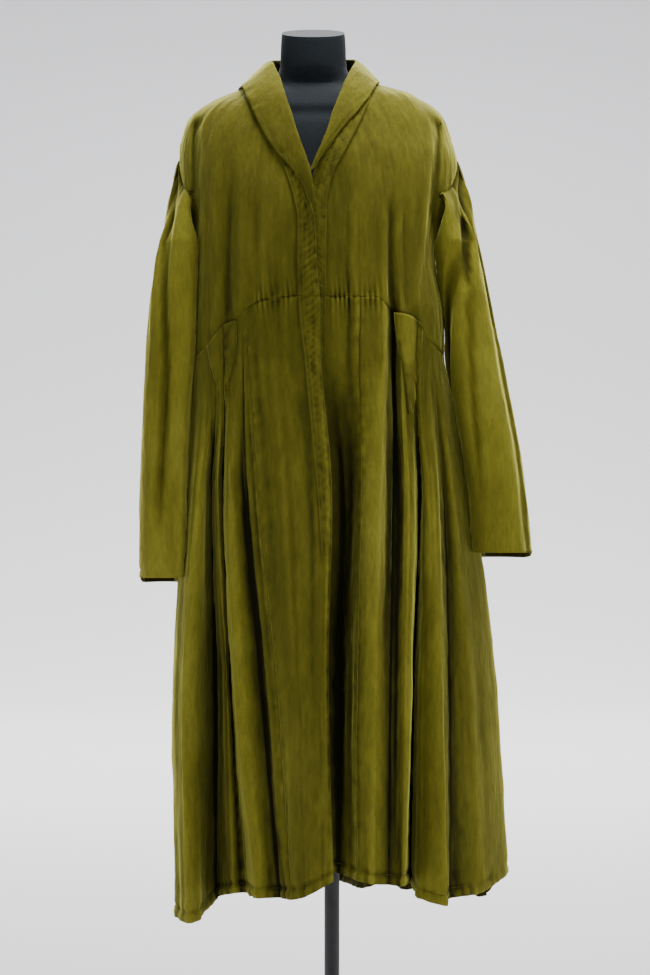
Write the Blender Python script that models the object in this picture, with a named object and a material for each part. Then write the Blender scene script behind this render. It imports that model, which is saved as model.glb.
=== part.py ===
"""A long velvet coat, open below the waist, on a plain dress form with a pole and a round base.

Metres, +Z up, front towards -Y. Right and left are the wearer's, so the right side lies at -X.
The origin is on the floor under the middle of the pole.
"""

import math

import bpy
import numpy as np

# Driving sizes
CLOTH = 0.0020
SEAM = 0.0003
OVERLAP_DROP = 0.0056
GATHER_DEPTH = 0.0016
GATHER_REACH = 0.030
GATHER_PITCH = 0.0072
POLE_RADIUS = 0.011
BASE_RADIUS = 0.165
BASE_HEIGHT = 0.012
FORM_BOTTOM = 0.860
SKIRT_TOP = 1.064
HUB_HEIGHT = 0.030
HUB_RADIUS = 0.030
BAND_OUT = CLOTH + 0.0004
INSET_OUT = {"right": CLOTH + 0.0007, "left": CLOTH + 0.0022}
COLLAR_OUT = 0.0062
NECK_OUT = CLOTH + 0.0008

# Sections of the worn body: height, side to side extent, front and back, and where the sides lie
BODY_COLUMNS = ("z", "x_right", "x_left", "y_front", "y_back", "y_mid")
BODY = np.array([
    (1.050, -0.200, 0.163, -0.132, 0.128, 0.000),
    (1.086, -0.200, 0.163, -0.134, 0.126, 0.000),
    (1.130, -0.199, 0.162, -0.137, 0.126, 0.000),
    (1.210, -0.197, 0.150, -0.138, 0.132, 0.002),
    (1.262, -0.2020, 0.157, -0.136, 0.134, 0.004),
    (1.300, -0.2150, 0.173, -0.131, 0.133, 0.006),
    (1.356, -0.2233, 0.184, -0.116, 0.126, 0.010),
    (1.389, -0.219, 0.172, -0.103, 0.118, 0.011),
    (1.411, -0.212, 0.168, -0.092, 0.110, 0.012),
    (1.428, -0.201, 0.158, -0.082, 0.102, 0.012),
    (1.440, -0.181, 0.146, -0.073, 0.095, 0.012),
    (1.450, -0.158, 0.122, -0.064, 0.088, 0.012),
    (1.458, -0.133, 0.092, -0.054, 0.080, 0.012),
    (1.466, -0.108, 0.060, -0.044, 0.070, 0.012),
])
BODY_ROUNDNESS = 2.35

# Long folds above the hips: heights, sideways places, width, depth at top, middle and foot, front or back
FOLD_COLUMNS = ("z_top", "z_low", "x_top", "x_low", "width", "deep_top", "deep_mid", "deep_low", "side")
BODICE_FOLDS = np.array([
    (1.400, 1.225, -0.1960, -0.1955, 0.020, 0.034, 0.026, 0.000, -1),
    (1.400, 1.225, 0.1520, 0.1400, 0.022, 0.034, 0.026, 0.000, -1),
    (1.400, 1.225, -0.1960, -0.1955, 0.020, 0.030, 0.022, 0.000, 1),
    (1.400, 1.225, 0.1520, 0.1420, 0.022, 0.030, 0.022, 0.000, 1),
    (1.280, 1.060, 0.0840, 0.0860, 0.024, 0.000, 0.008, 0.034, -1),
    (1.270, 1.060, -0.1420, -0.1480, 0.036, 0.002, 0.004, 0.005, -1),
    (1.270, 1.060, 0.1180, 0.1140, 0.026, 0.002, 0.004, 0.006, -1),
])

# Where the two fronts end, by height
EDGE_COLUMNS = ("z", "x_right_edge", "x_left_edge")
FRONT_EDGES = np.array([
    (1.0600, -0.0080, -0.0310),
    (1.1500, -0.0150, -0.0360),
    (1.2000, -0.0205, -0.0400),
    (1.2600, -0.0240, -0.0400),
    (1.2850, -0.0320, -0.0380),
    (1.3300, -0.0500, -0.0240),
    (1.3740, -0.0700, -0.0080),
    (1.4050, -0.0840, 0.0080),
    (1.4340, -0.0970, 0.0240),
    (1.4520, -0.1080, 0.0420),
    (1.4660, -0.1070, 0.0560),
])

# The high waist seam: sideways place and height, front and back
SEAM_COLUMNS = ("x", "z")
WAIST_FRONT = np.array([
    (-0.200, 1.068), (-0.176, 1.084), (-0.152, 1.112), (-0.134, 1.119), (-0.122, 1.133),
    (-0.108, 1.141), (-0.095, 1.145), (-0.048, 1.150), (0.063, 1.149), (0.083, 1.133),
    (0.110, 1.124), (0.127, 1.113), (0.134, 1.094), (0.150, 1.081), (0.163, 1.070),
])
WAIST_BACK_MIDDLE = 1.135
HEIGHTS = (("hip", 0.890), ("knee", 0.620), ("hem", 0.300))

# The skirt's long ridges and valleys, from the right front edge round the wearer's right side:
# sideways place at the waist, plan place at hip, knee and hem in millimetres, the hem's height,
# and how late the fold opens under the hip inset. The last row of each table lies at the back.
LINE_COLUMNS = ("x_waist", "x_hip", "y_hip", "x_knee", "y_knee", "x_hem", "y_hem", "hem_z", "late")
RIGHT_LINES = np.array([
    (-16, -1, -146, -5, -168, 3, -184, 0.336, 0.0),
    (-36, -20, -145, -20, -169, -14, -184, 0.326, 0.0),
    (-80, -62, -138, -48, -158, -38, -172, 0.312, 0.0),
    (-120, -106, -116, -81, -130, -58, -152, 0.305, 0.0),
    (-130, -124, -90, -100, -107, -73, -130, 0.305, 0.4),
    (-146, -148, -94, -138, -110, -108, -122, 0.303, 1.0),
    (-153, -156, -34, -146, -36, -124, -50, 0.300, 1.0),
    (-159, -163, -60, -153, -48, -144, -44, 0.298, 1.0),
    (-166, -175, -12, -168, -4, -166, 6, 0.285, 1.0),
    (-174, -181, -68, -191, -62, -188, -48, 0.262, 0.8),
    (-184, -196, -70, -214, -68, -210, -66, 0.259, 0.2),
    (-200, -215, -2, -229, -2, -228, -2, 0.262, 0.0),
    (-186, -204, 50, -220, 56, -222, 62, 0.268, 0.0),
])
LEFT_LINES = np.array([
    (-36, -28, -131, -25, -130, -14, -158, 0.343, 0.0),
    (-4, 14, -104, 13, -94, 8, -148, 0.341, 0.0),
    (40, 41, -128, 35, -141, 35, -166, 0.334, 0.0),
    (72, 66, -140, 58, -161, 57, -174, 0.330, 0.0),
    (83, 84, -90, 80, -140, 78, -166, 0.328, 0.6),
    (98, 101, -112, 97, -150, 92, -164, 0.326, 0.9),
    (114, 118, -106, 110, -141, 100, -155, 0.326, 1.0),
    (119, 124, -62, 117, -44, 112, -16, 0.310, 1.0),
    (124, 130, -92, 124, -104, 120, -98, 0.300, 1.0),
    (133, 144, -97, 153, -117, 160, -120, 0.292, 0.5),
    (142, 156, -68, 165, -90, 168, -100, 0.300, 0.0),
    (152, 171, -66, 193, -78, 213, -78, 0.304, 0.0),
    (163, 200, -2, 238, -2, 257, -2, 0.322, 0.0),
    (152, 192, 50, 226, 58, 244, 64, 0.312, 0.0),
])
BACK_FOLDS = 8
BACK_DEPTHS = {"hip": 0.158, "knee": 0.196, "hem": 0.228}
BACK_WAVES = {"hip": 0.008, "knee": 0.019, "hem": 0.027}
BACK_HEM_Z = 0.272

# Sleeves: height, inner, outer, front and back faces for the right arm and the left arm
SLEEVE_COLUMNS = ("z", "inner", "outer", "front", "back")
SLEEVES = {
    "right": np.array([
        (1.235, -0.2020, -0.2480, -0.064, 0.062),
        (1.155, -0.2030, -0.2625, -0.067, 0.060),
        (1.035, -0.2120, -0.2710, -0.070, 0.054),
        (0.930, -0.2190, -0.2755, -0.071, 0.048),
        (0.840, -0.2230, -0.2780, -0.071, 0.044),
        (0.752, -0.2260, -0.2775, -0.071, 0.040),
    ]),
    "left": np.array([
        (1.235, 0.1640, 0.2130, -0.066, 0.062),
        (1.155, 0.1760, 0.2290, -0.070, 0.060),
        (1.035, 0.1880, 0.2530, -0.074, 0.056),
        (0.930, 0.2090, 0.2720, -0.074, 0.052),
        (0.850, 0.2180, 0.2830, -0.074, 0.050),
        (0.788, 0.2200, 0.2895, -0.074, 0.050),
    ]),
}
# Sleeve folds: bearing round the arm at the top and at the cuff, width, and depth at the two ends
SLEEVE_FOLD_COLUMNS = ("bearing_top", "bearing_cuff", "width", "deep_top", "deep_cuff")
SLEEVE_FOLDS = {
    "right": np.array([
        (-28, -34, 34, 0.010, 0.004), (20, -10, 30, 0.008, 0.005), (150, 160, 36, 0.008, 0.005),
        (-150, -160, 36, 0.008, 0.005),
    ]),
    "left": np.array([
        (12, -130, 28, 0.016, 0.002), (40, 30, 34, 0.006, 0.005), (150, 160, 36, 0.008, 0.005),
        (-150, -160, 36, 0.008, 0.005),
    ]),
}


# Hip insets: sideways places of the outer and inner edge at the seam and a third down, and of the tip
INSETS = {
    "right": {"outer": (-0.176, -0.170), "inner": (-0.1345, -0.1345), "tip": (-0.153, 1.004)},
    "left": {"outer": (0.1265, 0.1245), "inner": (0.0905, 0.0960), "tip": (0.108, 0.985)},
}
# Height and sideways place of each band's inner stitch line, from its top
BAND_COLUMNS = ("z", "x")
BAND_STITCH = {
    "right": np.array([
        (1.335, -0.0690), (1.295, -0.0560), (1.255, -0.0490), (1.201, -0.0490), (1.149, -0.0483),
        (1.059, -0.0390), (0.947, -0.0278), (0.864, -0.0194), (0.790, -0.0145),
    ]),
    "left": np.array([
        (1.441, 0.0560), (1.4217, 0.0497), (1.3885, 0.0354), (1.357, 0.0198), (1.329, 0.0042),
        (1.303, -0.0042), (1.281, -0.0070), (1.148, -0.0084), (1.060, -0.0090),
    ]),
}
# The collar's guide lines, from its right end round the neck to its left end: the roll's place,
# then the outer edge and the neckline by sideways place, height and front (-1) or back (1),
# and how far the neckline stands inside the neck opening
COLLAR_COLUMNS = ("roll_x", "roll_y", "roll_z", "fall_x", "fall_z", "fall_face", "neck_x", "neck_z", "neck_face")
COLLAR_COLUMNS += ("neck_in",)
COLLAR = np.array([
    (-25, -147, 1281, -33, 1281, -1, -31, 1284, -1, 0),
    (-29, -145, 1305, -40, 1301, -1, -38, 1300, -1, 0),
    (-34, -141, 1331, -57, 1329, -1, -48, 1330, -1, 0),
    (-49, -127, 1374, -76, 1350, -1, -67, 1374, -1, 0),
    (-59, -111, 1407, -95, 1378, -1, -83, 1405, -1, 0),
    (-70, -89, 1441, -110, 1409, -1, -95, 1434, -1, 0),
    (-77, -62, 1466, -121, 1436, -1, -105, 1452, -1, 2),
    (-86, -34, 1489, -128, 1452, -1, -103, 1465, -1, 6),
    (-93, 6, 1499, -136, 1455, 1, -103, 1466, 1, 8),
    (-76, 44, 1505, -112, 1452, 1, -80, 1466, 1, 8),
    (-27, 62, 1508, -24, 1446, 1, -24, 1466, 1, 8),
    (18, 44, 1506, 52, 1454, 1, 34, 1466, 1, 8),
    (36, 8, 1500, 70, 1464, 1, 53, 1466, 1, 8),
    (31, -32, 1484, 64, 1455, -1, 54, 1465, -1, 7),
    (19, -66, 1457, 52, 1434, -1, 41, 1452, -1, 2),
    (8, -93, 1425, 36, 1412, -1, 23, 1434, -1, 0),
    (-2, -111, 1395, 16, 1388, -1, 7, 1405, -1, 0),
    (-16, -126, 1359, -3, 1361, -1, -9, 1374, -1, 0),
    (-26, -131, 1336, -17, 1341, -1, -21, 1340, -1, 0),
    (-29, -133, 1327, -21, 1331, -1, -25, 1327, -1, 0),
])
COLLAR_STEPS = 37
NECK_MIDDLE = (-0.024, 0.012)
COLLAR_SHARES = (0.0, 0.5, 0.85, 1.0, 1.14, 1.32, 1.65, 2.0)
COLLAR_RISES = (0.0, 0.0005, 0.0020, 0.0034, 0.0034, 0.0030, 0.0016, 0.0)
# The dress form's sections, top first
FORM_COLUMNS = ("z", "x_mid", "half", "y_front", "y_back", "y_mid", "tilt")
FORM = np.array([
    (1.5400, -0.0270, 0.0455, -0.0460, 0.0460, 0.000, 0.28),
    (1.5300, -0.0270, 0.0465, -0.0470, 0.0470, 0.000, 0.22),
    (1.4900, -0.0270, 0.0485, -0.0490, 0.0490, 0.000, 0.05),
    (1.4740, -0.0265, 0.0560, -0.0460, 0.0540, 0.003, 0.0),
    (1.4625, -0.0240, 0.0760, -0.0430, 0.0600, 0.008, 0.0),
    (1.4545, -0.0205, 0.1080, -0.0520, 0.0780, 0.012, 0.0),
    (1.4470, -0.0185, 0.1350, -0.0610, 0.0850, 0.012, 0.0),
    (1.4370, -0.0180, 0.1580, -0.0700, 0.0920, 0.012, 0.0),
    (1.4250, -0.0215, 0.1740, -0.0785, 0.0985, 0.012, 0.0),
    (1.416, -0.022, 0.165, -0.080, 0.096, 0.012, 0.0),
    (1.400, -0.022, 0.160, -0.090, 0.104, 0.012, 0.0),
    (1.360, -0.022, 0.156, -0.104, 0.114, 0.010, 0.0),
    (1.300, -0.021, 0.150, -0.118, 0.116, 0.006, 0.0),
    (1.225, -0.019, 0.146, -0.124, 0.106, 0.002, 0.0),
    (1.150, -0.016, 0.130, -0.104, 0.092, 0.000, 0.0),
    (1.065, -0.012, 0.118, -0.086, 0.086, 0.000, 0.0),
    (0.985, -0.008, 0.138, -0.094, 0.104, 0.002, 0.0),
    (0.920, -0.004, 0.140, -0.096, 0.108, 0.002, 0.0),
    (0.872, -0.001, 0.124, -0.084, 0.094, 0.000, 0.0),
    (0.860, 0.000, 0.110, -0.072, 0.080, 0.000, 0.0),
])


def column(rows, names, name):
    """One named column of a table."""
    return rows[:, names.index(name)]


def spline(keys, values, at):
    """Smooth values through rows with rising keys, with no overshoot."""
    keys, values, at = (np.asarray(v, float) for v in (keys, values, at))
    step = np.diff(keys)
    slope = np.diff(values) / step
    same = slope[:-1] * slope[1:] > 0
    inner = np.where(same, 2 * slope[:-1] * slope[1:] / np.where(same, slope[:-1] + slope[1:], 1), 0)
    tangent = np.concatenate([slope[:1], inner, slope[-1:]])
    at = np.clip(at, keys[0], keys[-1])
    i = np.clip(np.searchsorted(keys, at, side="right") - 1, 0, len(step) - 1)
    t = (at - keys[i]) / step[i]
    rise = values[i + 1] - values[i]
    near, far = tangent[i] * step[i], tangent[i + 1] * step[i]
    return values[i] + t * near + t * t * (3 * rise - 2 * near - far) + t ** 3 * (near + far - 2 * rise)


def smoothstep(low, high, value):
    t = np.clip((value - low) / (high - low), 0, 1)
    return t * t * (3 - 2 * t)


def body_value(name, z):
    """A size of the worn body at a height."""
    return spline(column(BODY, BODY_COLUMNS, "z"), column(BODY, BODY_COLUMNS, name), z)


def body_smooth(bearing, z):
    """The worn body with no folds, at a bearing in degrees from the front and a height."""
    low, high = body_value("x_right", z), body_value("x_left", z)
    half, middle = (high - low) / 2, (high + low) / 2
    y_mid = body_value("y_mid", z)
    s, c = np.sin(np.radians(bearing)), np.cos(np.radians(bearing))
    depth = np.where(c > 0, y_mid - body_value("y_front", z), body_value("y_back", z) - y_mid)
    n = BODY_ROUNDNESS
    reach = (np.abs(s / half) ** n + np.abs(c / depth) ** n) ** (-1 / n)
    return middle + reach * s, y_mid - reach * c


def body(bearing, z):
    """A point of the worn body with its long folds."""
    bearing, z = np.broadcast_arrays(np.asarray(bearing, float), np.asarray(z, float))
    x, y = body_smooth(bearing, z)
    facing = np.where(np.cos(np.radians(bearing)) > 0, -1, 1)
    push = np.zeros_like(x)
    for row in BODICE_FOLDS:
        fold = dict(zip(FOLD_COLUMNS, row))
        t = np.clip((fold["z_top"] - z) / (fold["z_top"] - fold["z_low"]), 0, 1)
        away = np.abs(x - fold["x_top"] - t * (fold["x_low"] - fold["x_top"])) / (fold["width"] / 2)
        deep = spline((0, 0.5, 1), [fold[k] for k in ("deep_top", "deep_mid", "deep_low")], t)
        fade = 1 - smoothstep(fold["z_top"], fold["z_top"] + 0.016, z)
        inside = (away < 1) & (facing == fold["side"])
        push -= np.where(inside, fold["side"] * deep * fade * np.cos(np.pi / 2 * np.minimum(away, 1)) ** 1.5, 0)
    limit = np.abs(y - body_value("y_mid", z)) * 0.85
    push = np.clip(push, -limit, limit)
    return np.stack([x, y + push, z], axis=-1)


def bearing_of(x, z, side=-1):
    """The bearing at which the body has this sideways place, on its front or its back."""
    low, high = body_value("x_right", z), body_value("x_left", z)
    half, middle = (high - low) / 2, (high + low) / 2
    y_mid = body_value("y_mid", z)
    depth = y_mid - body_value("y_front", z) if side < 0 else body_value("y_back", z) - y_mid
    share = np.clip(np.abs(x - middle) / half, 0, 1)
    n = BODY_ROUNDNESS
    y = depth * (1 - share ** n) ** (1 / n)
    turn = np.degrees(np.arctan2(x - middle, y))
    return turn if side < 0 else np.sign(turn) * 180 - turn


def waist_height(bearing, z_guess=1.12):
    """Height of the high waist seam at a bearing."""
    x, _ = body_smooth(bearing, z_guess)
    front = spline(column(WAIST_FRONT, SEAM_COLUMNS, "x"), column(WAIST_FRONT, SEAM_COLUMNS, "z"), x)
    turn = np.clip((np.abs(bearing) - 90) / 50, 0, 1)
    side_z = WAIST_FRONT[0, 1]
    back = side_z + (WAIST_BACK_MIDDLE - side_z) * smoothstep(0, 1, turn)
    return np.where(np.abs(bearing) < 90, front, back)


def table_lines(rows):
    """Bearing at the waist, plan places, hem height and lateness of each row of a table of lines."""
    found = []
    for i, row in enumerate(rows):
        line = dict(zip(LINE_COLUMNS, row))
        bearing = float(bearing_of(line["x_waist"] / 1000, 1.12, 1 if i == len(rows) - 1 else -1))
        places = {key: np.array([line["x_" + key], line["y_" + key]]) / 1000 for key, _ in HEIGHTS}
        found.append((bearing, places, line["hem_z"], line["late"]))
    return found


def back_line(first, last, i):
    """One line of the back skirt, whose ridges and valleys alternate."""
    share = i / (2 * BACK_FOLDS + 2)
    turn = math.pi * (0.08 + 0.84 * share)
    places = {}
    for key, _ in HEIGHTS:
        a, b = first[1][key], last[1][key]
        middle, half = (a[0] + b[0]) / 2, (b[0] - a[0]) / 2 / math.cos(0.08 * math.pi)
        y_from = (a[1] + b[1]) / 2 - 0.05
        deep = BACK_DEPTHS[key] - y_from + BACK_WAVES[key] * (1 if i % 2 else -1)
        places[key] = np.array([middle - half * math.cos(turn), y_from + deep * math.sin(turn) ** 0.8])
    bearing = first[0] + (last[0] - 360 - first[0]) * share
    return bearing, places, BACK_HEM_Z + 0.004 * math.sin(3.1 * i), 0.0


def plan_lines():
    """All the skirt's lines in order from the right front edge round the back to the left one."""
    right, left = table_lines(RIGHT_LINES), table_lines(LEFT_LINES)
    back = [back_line(right[-1], left[-1], i) for i in range(1, 2 * BACK_FOLDS + 2)]
    return right + back + [(line[0] - 360, *line[1:]) for line in reversed(left)]


LINES = plan_lines()
LINE_COUNT = len(LINES)


def across(values, q):
    """A smooth value between numbered lines: a Catmull-Rom curve, softened at the valleys."""
    values = np.asarray(values, float)
    i = np.clip(np.floor(q).astype(int), 0, len(values) - 2)
    t = (q - i)
    pick = lambda k: values[np.clip(i + k, 0, len(values) - 1)]
    before, here, there, after = pick(-1), pick(0), pick(1), pick(2)
    near, far = 0.36 * (there - before), 0.36 * (after - here)
    rise = there - here
    return here + t * near + t * t * (3 * rise - 2 * near - far) + t ** 3 * (near + far - 2 * rise)


def line_bearing(q):
    return spline(range(LINE_COUNT), [line[0] for line in LINES], q)


def hem_height(q):
    return across([line[2] for line in LINES], q)


def skirt(q, z):
    """A point of the skirt at a line number, which may lie between two lines, and a height."""
    q, z = np.broadcast_arrays(np.asarray(q, float), np.asarray(z, float))
    bearing = line_bearing(q)
    top = body(((bearing + 180) % 360) - 180, np.full_like(z, SKIRT_TOP))
    high = body(((bearing + 180) % 360) - 180, np.maximum(z, SKIRT_TOP))
    places = {key: np.stack([across([line[1][key][k] for line in LINES], q) for k in (0, 1)], axis=-1)
              for key, _ in HEIGHTS}
    keys = [SKIRT_TOP, *(height for _, height in HEIGHTS)]
    nodes = [top[..., :2], *(places[key] for key, _ in HEIGHTS)]
    below = np.zeros(q.shape + (2,))
    slopes = [(nodes[k + 1] - nodes[k]) / (keys[k + 1] - keys[k]) for k in range(3)]
    tangents = [slopes[0] * 0.9, (slopes[0] + slopes[1]) / 2, (slopes[1] + slopes[2]) / 2, slopes[2]]
    for k in range(3):
        t = (z - keys[k]) / (keys[k + 1] - keys[k])
        use = (t >= 0) & ((t < 1) | (k == 2))
        if k == 0:
            late = spline(range(LINE_COUNT), [line[3] for line in LINES], q)
            t = t + late * (np.clip(t, 0, 1) ** 2.8 - t)
        step = keys[k + 1] - keys[k]
        rise, near, far = nodes[k + 1] - nodes[k], tangents[k] * step, tangents[k + 1] * step
        t = t[..., None]
        here = nodes[k] + t * near + t * t * (3 * rise - 2 * near - far) + t ** 3 * (near + far - 2 * rise)
        below = np.where(use[..., None], here, below)
    below = np.concatenate([below, z[..., None]], axis=-1)
    return np.where((z >= SKIRT_TOP)[..., None], high, below)


def faced(surface, turn, height, step=(0.004, 0.0003)):
    """Points of a surface and their outward unit normals. Turns grow clockwise as seen from above."""
    turn, height = np.broadcast_arrays(np.asarray(turn, float), np.asarray(height, float))
    along = surface(turn + step[0], height) - surface(turn - step[0], height)
    down = surface(turn, height - step[1]) - surface(turn, height + step[1])
    found = np.cross(along, down)
    return surface(turn, height), found / np.maximum(np.linalg.norm(found, axis=-1, keepdims=True), 1e-12)


def material(name, color, roughness, metallic=0.0):
    found = bpy.data.materials.new(name)
    found.use_nodes = True
    shader = found.node_tree.nodes["Principled BSDF"]
    shader.inputs["Base Color"].default_value = (*color, 1)
    shader.inputs["Roughness"].default_value = roughness
    shader.inputs["Metallic"].default_value = metallic
    return found


def add_mesh(name, points, faces, finish):
    mesh = bpy.data.meshes.new(name)
    mesh.from_pydata([tuple(p) for p in points], [], faces)
    mesh.validate()
    mesh.shade_smooth()
    mesh.set_sharp_from_angle(angle=math.radians(50))
    made = bpy.data.objects.new(name, mesh)
    made.data.materials.append(finish)
    bpy.context.scene.collection.objects.link(made)
    return made


def joined(first, second, a, b):
    """Triangles between two rows of points with rising numbers, whose vertices start at a and b."""
    faces, i, j = [], 0, 0
    while i < len(first) - 1 or j < len(second) - 1:
        down = i == len(first) - 1 or (j < len(second) - 1 and second[j + 1] < first[i + 1] - 1e-9)
        if down:
            faces.append((a + i, b + j + 1, b + j))
            j += 1
        else:
            faces.append((a + i, a + i + 1, b + j))
            i += 1
    return faces


def cloth(name, rows, finish, closed=False):
    """A closed wall of cloth. Each row is (numbers, outer points, outward normals), top row first."""
    numbers = [row[0] for row in rows]
    if closed:
        numbers = [np.append(row, row[-1] + 1) for row in numbers]
    outer = np.concatenate([row[1] for row in rows])
    inner = np.concatenate([row[1] - row[2] * CLOTH for row in rows])
    starts = np.concatenate([[0], np.cumsum([len(row[0]) for row in rows])])
    back = starts[-1]
    faces = []
    for r in range(len(rows) - 1):
        base = len(numbers[r])
        for face in joined(numbers[r], numbers[r + 1], 0, base):
            ids = []
            for v in face:
                row, k = (r + 1, v - base) if v >= base else (r, v)
                ids.append(int(starts[row] + k % len(rows[row][0])))
            faces.append(tuple(ids))
            faces.append(tuple(int(back + v) for v in reversed(ids)))
    for r, flip in ((0, False), (len(rows) - 1, True)):
        count = len(rows[r][0])
        for c in range(count if closed else count - 1):
            a, b = int(starts[r] + c), int(starts[r] + (c + 1) % count)
            if flip:
                faces += [(b, back + b, a), (back + b, back + a, a)]
            else:
                faces += [(a, back + a, back + b), (a, back + b, b)]
    for r in range(0 if closed else len(rows) - 1):
        a, b = int(starts[r]), int(starts[r + 1])
        faces += [(b, back + b, a), (back + b, back + a, a)]
        a, b = int(starts[r + 1] - 1), int(starts[r + 2] - 1)
        faces += [(a, back + a, back + b), (a, back + b, b)]
    return add_mesh(name, np.concatenate([outer, inner]), [tuple(map(int, f)) for f in faces], finish)


def inset_ends(points, first=True, last=True):
    """Moves a grid's side columns in by half a seam."""
    if first:
        step = points[:, 1] - points[:, 0]
        points[:, 0] += step / np.linalg.norm(step, axis=-1, keepdims=True) * SEAM * 0.6
    if last:
        step = points[:, -2] - points[:, -1]
        points[:, -1] += step / np.linalg.norm(step, axis=-1, keepdims=True) * SEAM * 0.6


def gathers(bearing, z):
    """Fine gathers that fade away from the waist seam, where the seam is gathered."""
    x, _ = body_smooth(bearing, 1.14)
    back = (np.abs(bearing) > 100) & (x > -0.105) & (x < 0.081)
    front = (np.abs(bearing) < 80) & (((x < -0.050) & (x > -0.108)) | ((x > -0.003) & (x < 0.074)))
    away = np.abs(z - waist_height(bearing))
    wave = np.cos(2 * np.pi * np.asarray(x) / np.where(back, BACK_GATHER_PITCH, GATHER_PITCH))
    return np.where(front | back, GATHER_DEPTH * wave * np.exp(-away / GATHER_REACH * 1.6), 0)


def bodice_surface(turn, z):
    return body(-turn, z)


# Bearing at which each front and the back end at the armhole, by height
ARMHOLE_COLUMNS = ("z", "bearing")
ARMHOLE = np.array([
    (1.262, 90.0), (1.282, 84.0), (1.300, 69.0), (1.307, 76.0), (1.317, 83.0), (1.335, 88.0), (1.356, 90.0),
])


def armhole_bearing(z):
    return np.interp(z, column(ARMHOLE, ARMHOLE_COLUMNS, "z"), column(ARMHOLE, ARMHOLE_COLUMNS, "bearing"))


BODICE_ROWS = (1.466, 1.454, 1.440, 1.422, 1.395, 1.356, 1.330, 1.312, 1.300, 1.282, 1.262, 1.222)
SEAM_ROWS = (0.42, 0.13, 0.0)
SKIRT_ROWS = (0, 0.014, 0.050, 0.13, 0.25, 0.42, 0.62, 0.82, 1.0)
COLUMNS_A_LINE = 2
BACK_GATHER_PITCH = 0.0160
GATHERED_BODICE_ROWS = (13, 14)
GATHERED_SKIRT_ROWS = (0, 1)
GATHERED = {"right": (-0.108, -0.0504), "left": (-0.003, 0.074)}
RIGHT_SIDE_LINE = 11
LEFT_SIDE_LINE = LINE_COUNT - 13
SEAM_LINES = {"princess_right": 3, "pleat_right": 6, "back_right": 12}
SEAM_LINES |= {"back_left": LINE_COUNT - 14, "pleat_left": LINE_COUNT - 8, "princess_left": LINE_COUNT - 3}


def wrapped(bearing):
    return (bearing + 180) % 360 - 180


def line_at(bearing):
    """The line number at an unwrapped bearing, which falls as the number rises."""
    q = np.linspace(0, LINE_COUNT - 1, 4001)
    return np.interp(-np.asarray(bearing, float), -line_bearing(q), q)


def gather_lines():
    """Line numbers at each crest and trough of the gathers, front and back."""
    found = []
    for side, (first, last) in GATHERED.items():
        steps = np.arange(math.ceil(first / GATHER_PITCH * 2), math.floor(last / GATHER_PITCH * 2) + 1)
        bearing = bearing_of(steps * GATHER_PITCH / 2, np.full(len(steps), 1.14))
        found.append(line_at(bearing if side == "right" else bearing - 360))
    steps = np.arange(-13, 11)
    bearing = bearing_of(steps * BACK_GATHER_PITCH / 2, np.full(len(steps), 1.14), 1)
    found.append(line_at(np.where(bearing > 0, bearing - 360, bearing)))
    return np.concatenate(found)


def skirt_columns():
    """Line numbers of the plain columns, and of all the columns with those of the gathers."""
    gathered = gather_lines()
    plain = np.linspace(0, LINE_COUNT - 1, (LINE_COUNT - 1) * COLUMNS_A_LINE + 1)
    clash = np.abs(gathered[:, None] - plain[None, :]).min(axis=1) < 0.035
    return plain, np.unique(np.round(np.concatenate([plain, gathered[~clash]]), 5))


PLAIN, COLUMNS = skirt_columns()


def columns_between(first, last):
    return COLUMNS[(COLUMNS >= first - 1e-6) & (COLUMNS <= last + 1e-6)]


def is_plain(q):
    return np.abs(q[:, None] - PLAIN[None, :]).min(axis=1) < 1e-4


def ragged(q, points, normal, relief, gathered_rows):
    """Rows for a wall: those away from the gathers keep only the plain columns."""
    rows = []
    for r in range(len(points)):
        keep = is_plain(q) | (r in gathered_rows)
        outer = points[r] + normal[r] * relief[r][:, None]
        rows.append((q[keep], outer[keep], normal[r][keep]))
    return rows


def front_edge(side, z):
    keys = column(FRONT_EDGES, EDGE_COLUMNS, "z")
    return bearing_of(spline(keys, column(FRONT_EDGES, EDGE_COLUMNS, f"x_{side}_edge"), z), z)


def left_drop(points):
    """How far the left front lies under the right one, near the middle."""
    x, z = points[..., 0], points[..., 2]
    reach = 1 - smoothstep(0.005, 0.050, x)
    return -OVERLAP_DROP * reach * smoothstep(0.86, 1.02, z) * smoothstep(1.36, 1.30, z)


def bodice_grid(waist, edge, fold_x, side):
    """Bearings and heights of a front, from its edge to the side seam and armhole, for waist bearings."""
    seam = waist_height(waist if side == "left" else -waist) + SEAM * 0.6
    rows = [np.full_like(seam, z) for z in BODICE_ROWS]
    rows += [seam + share * (BODICE_ROWS[-1] - seam) for share in SEAM_ROWS]
    heights = np.array(rows)
    bearings = np.zeros_like(heights)
    marks = np.array([waist[0], 62.0, 66.0, 71.0, 76.0, 80.0, 85.0, 90.0])
    for r, row in enumerate(heights):
        z = row[-1] if r < len(BODICE_ROWS) else BODICE_ROWS[-1]
        end = float(armhole_bearing(z))
        groove = min(abs(float(bearing_of(fold_x, z))), 76.0, end - 4)
        lip = min(groove - 5.0, 64.0)
        tail = groove + (end - groove) * np.array([0.3, 0.55, 0.8, 1.0])
        places = np.concatenate([[edge(z), lip, groove - 2.4, groove], tail])
        straight = smoothstep(1.16, 1.262, z) if r < len(BODICE_ROWS) else 0
        free = np.interp(waist, marks, places)
        level = np.interp(waist, [waist[0], 90], [edge(z), 90.0])
        plain = waist + (edge(z) - waist[0]) * np.clip((40 - waist) / (40 - waist[0]), 0, 1)
        bearings[r] = straight * free + (1 - straight) * plain
        if r >= len(BODICE_ROWS):
            share = SEAM_ROWS[r - len(BODICE_ROWS)]
            bearings[r] = waist + share * (bearings[len(BODICE_ROWS) - 1] - waist)
    return bearings, heights


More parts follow.
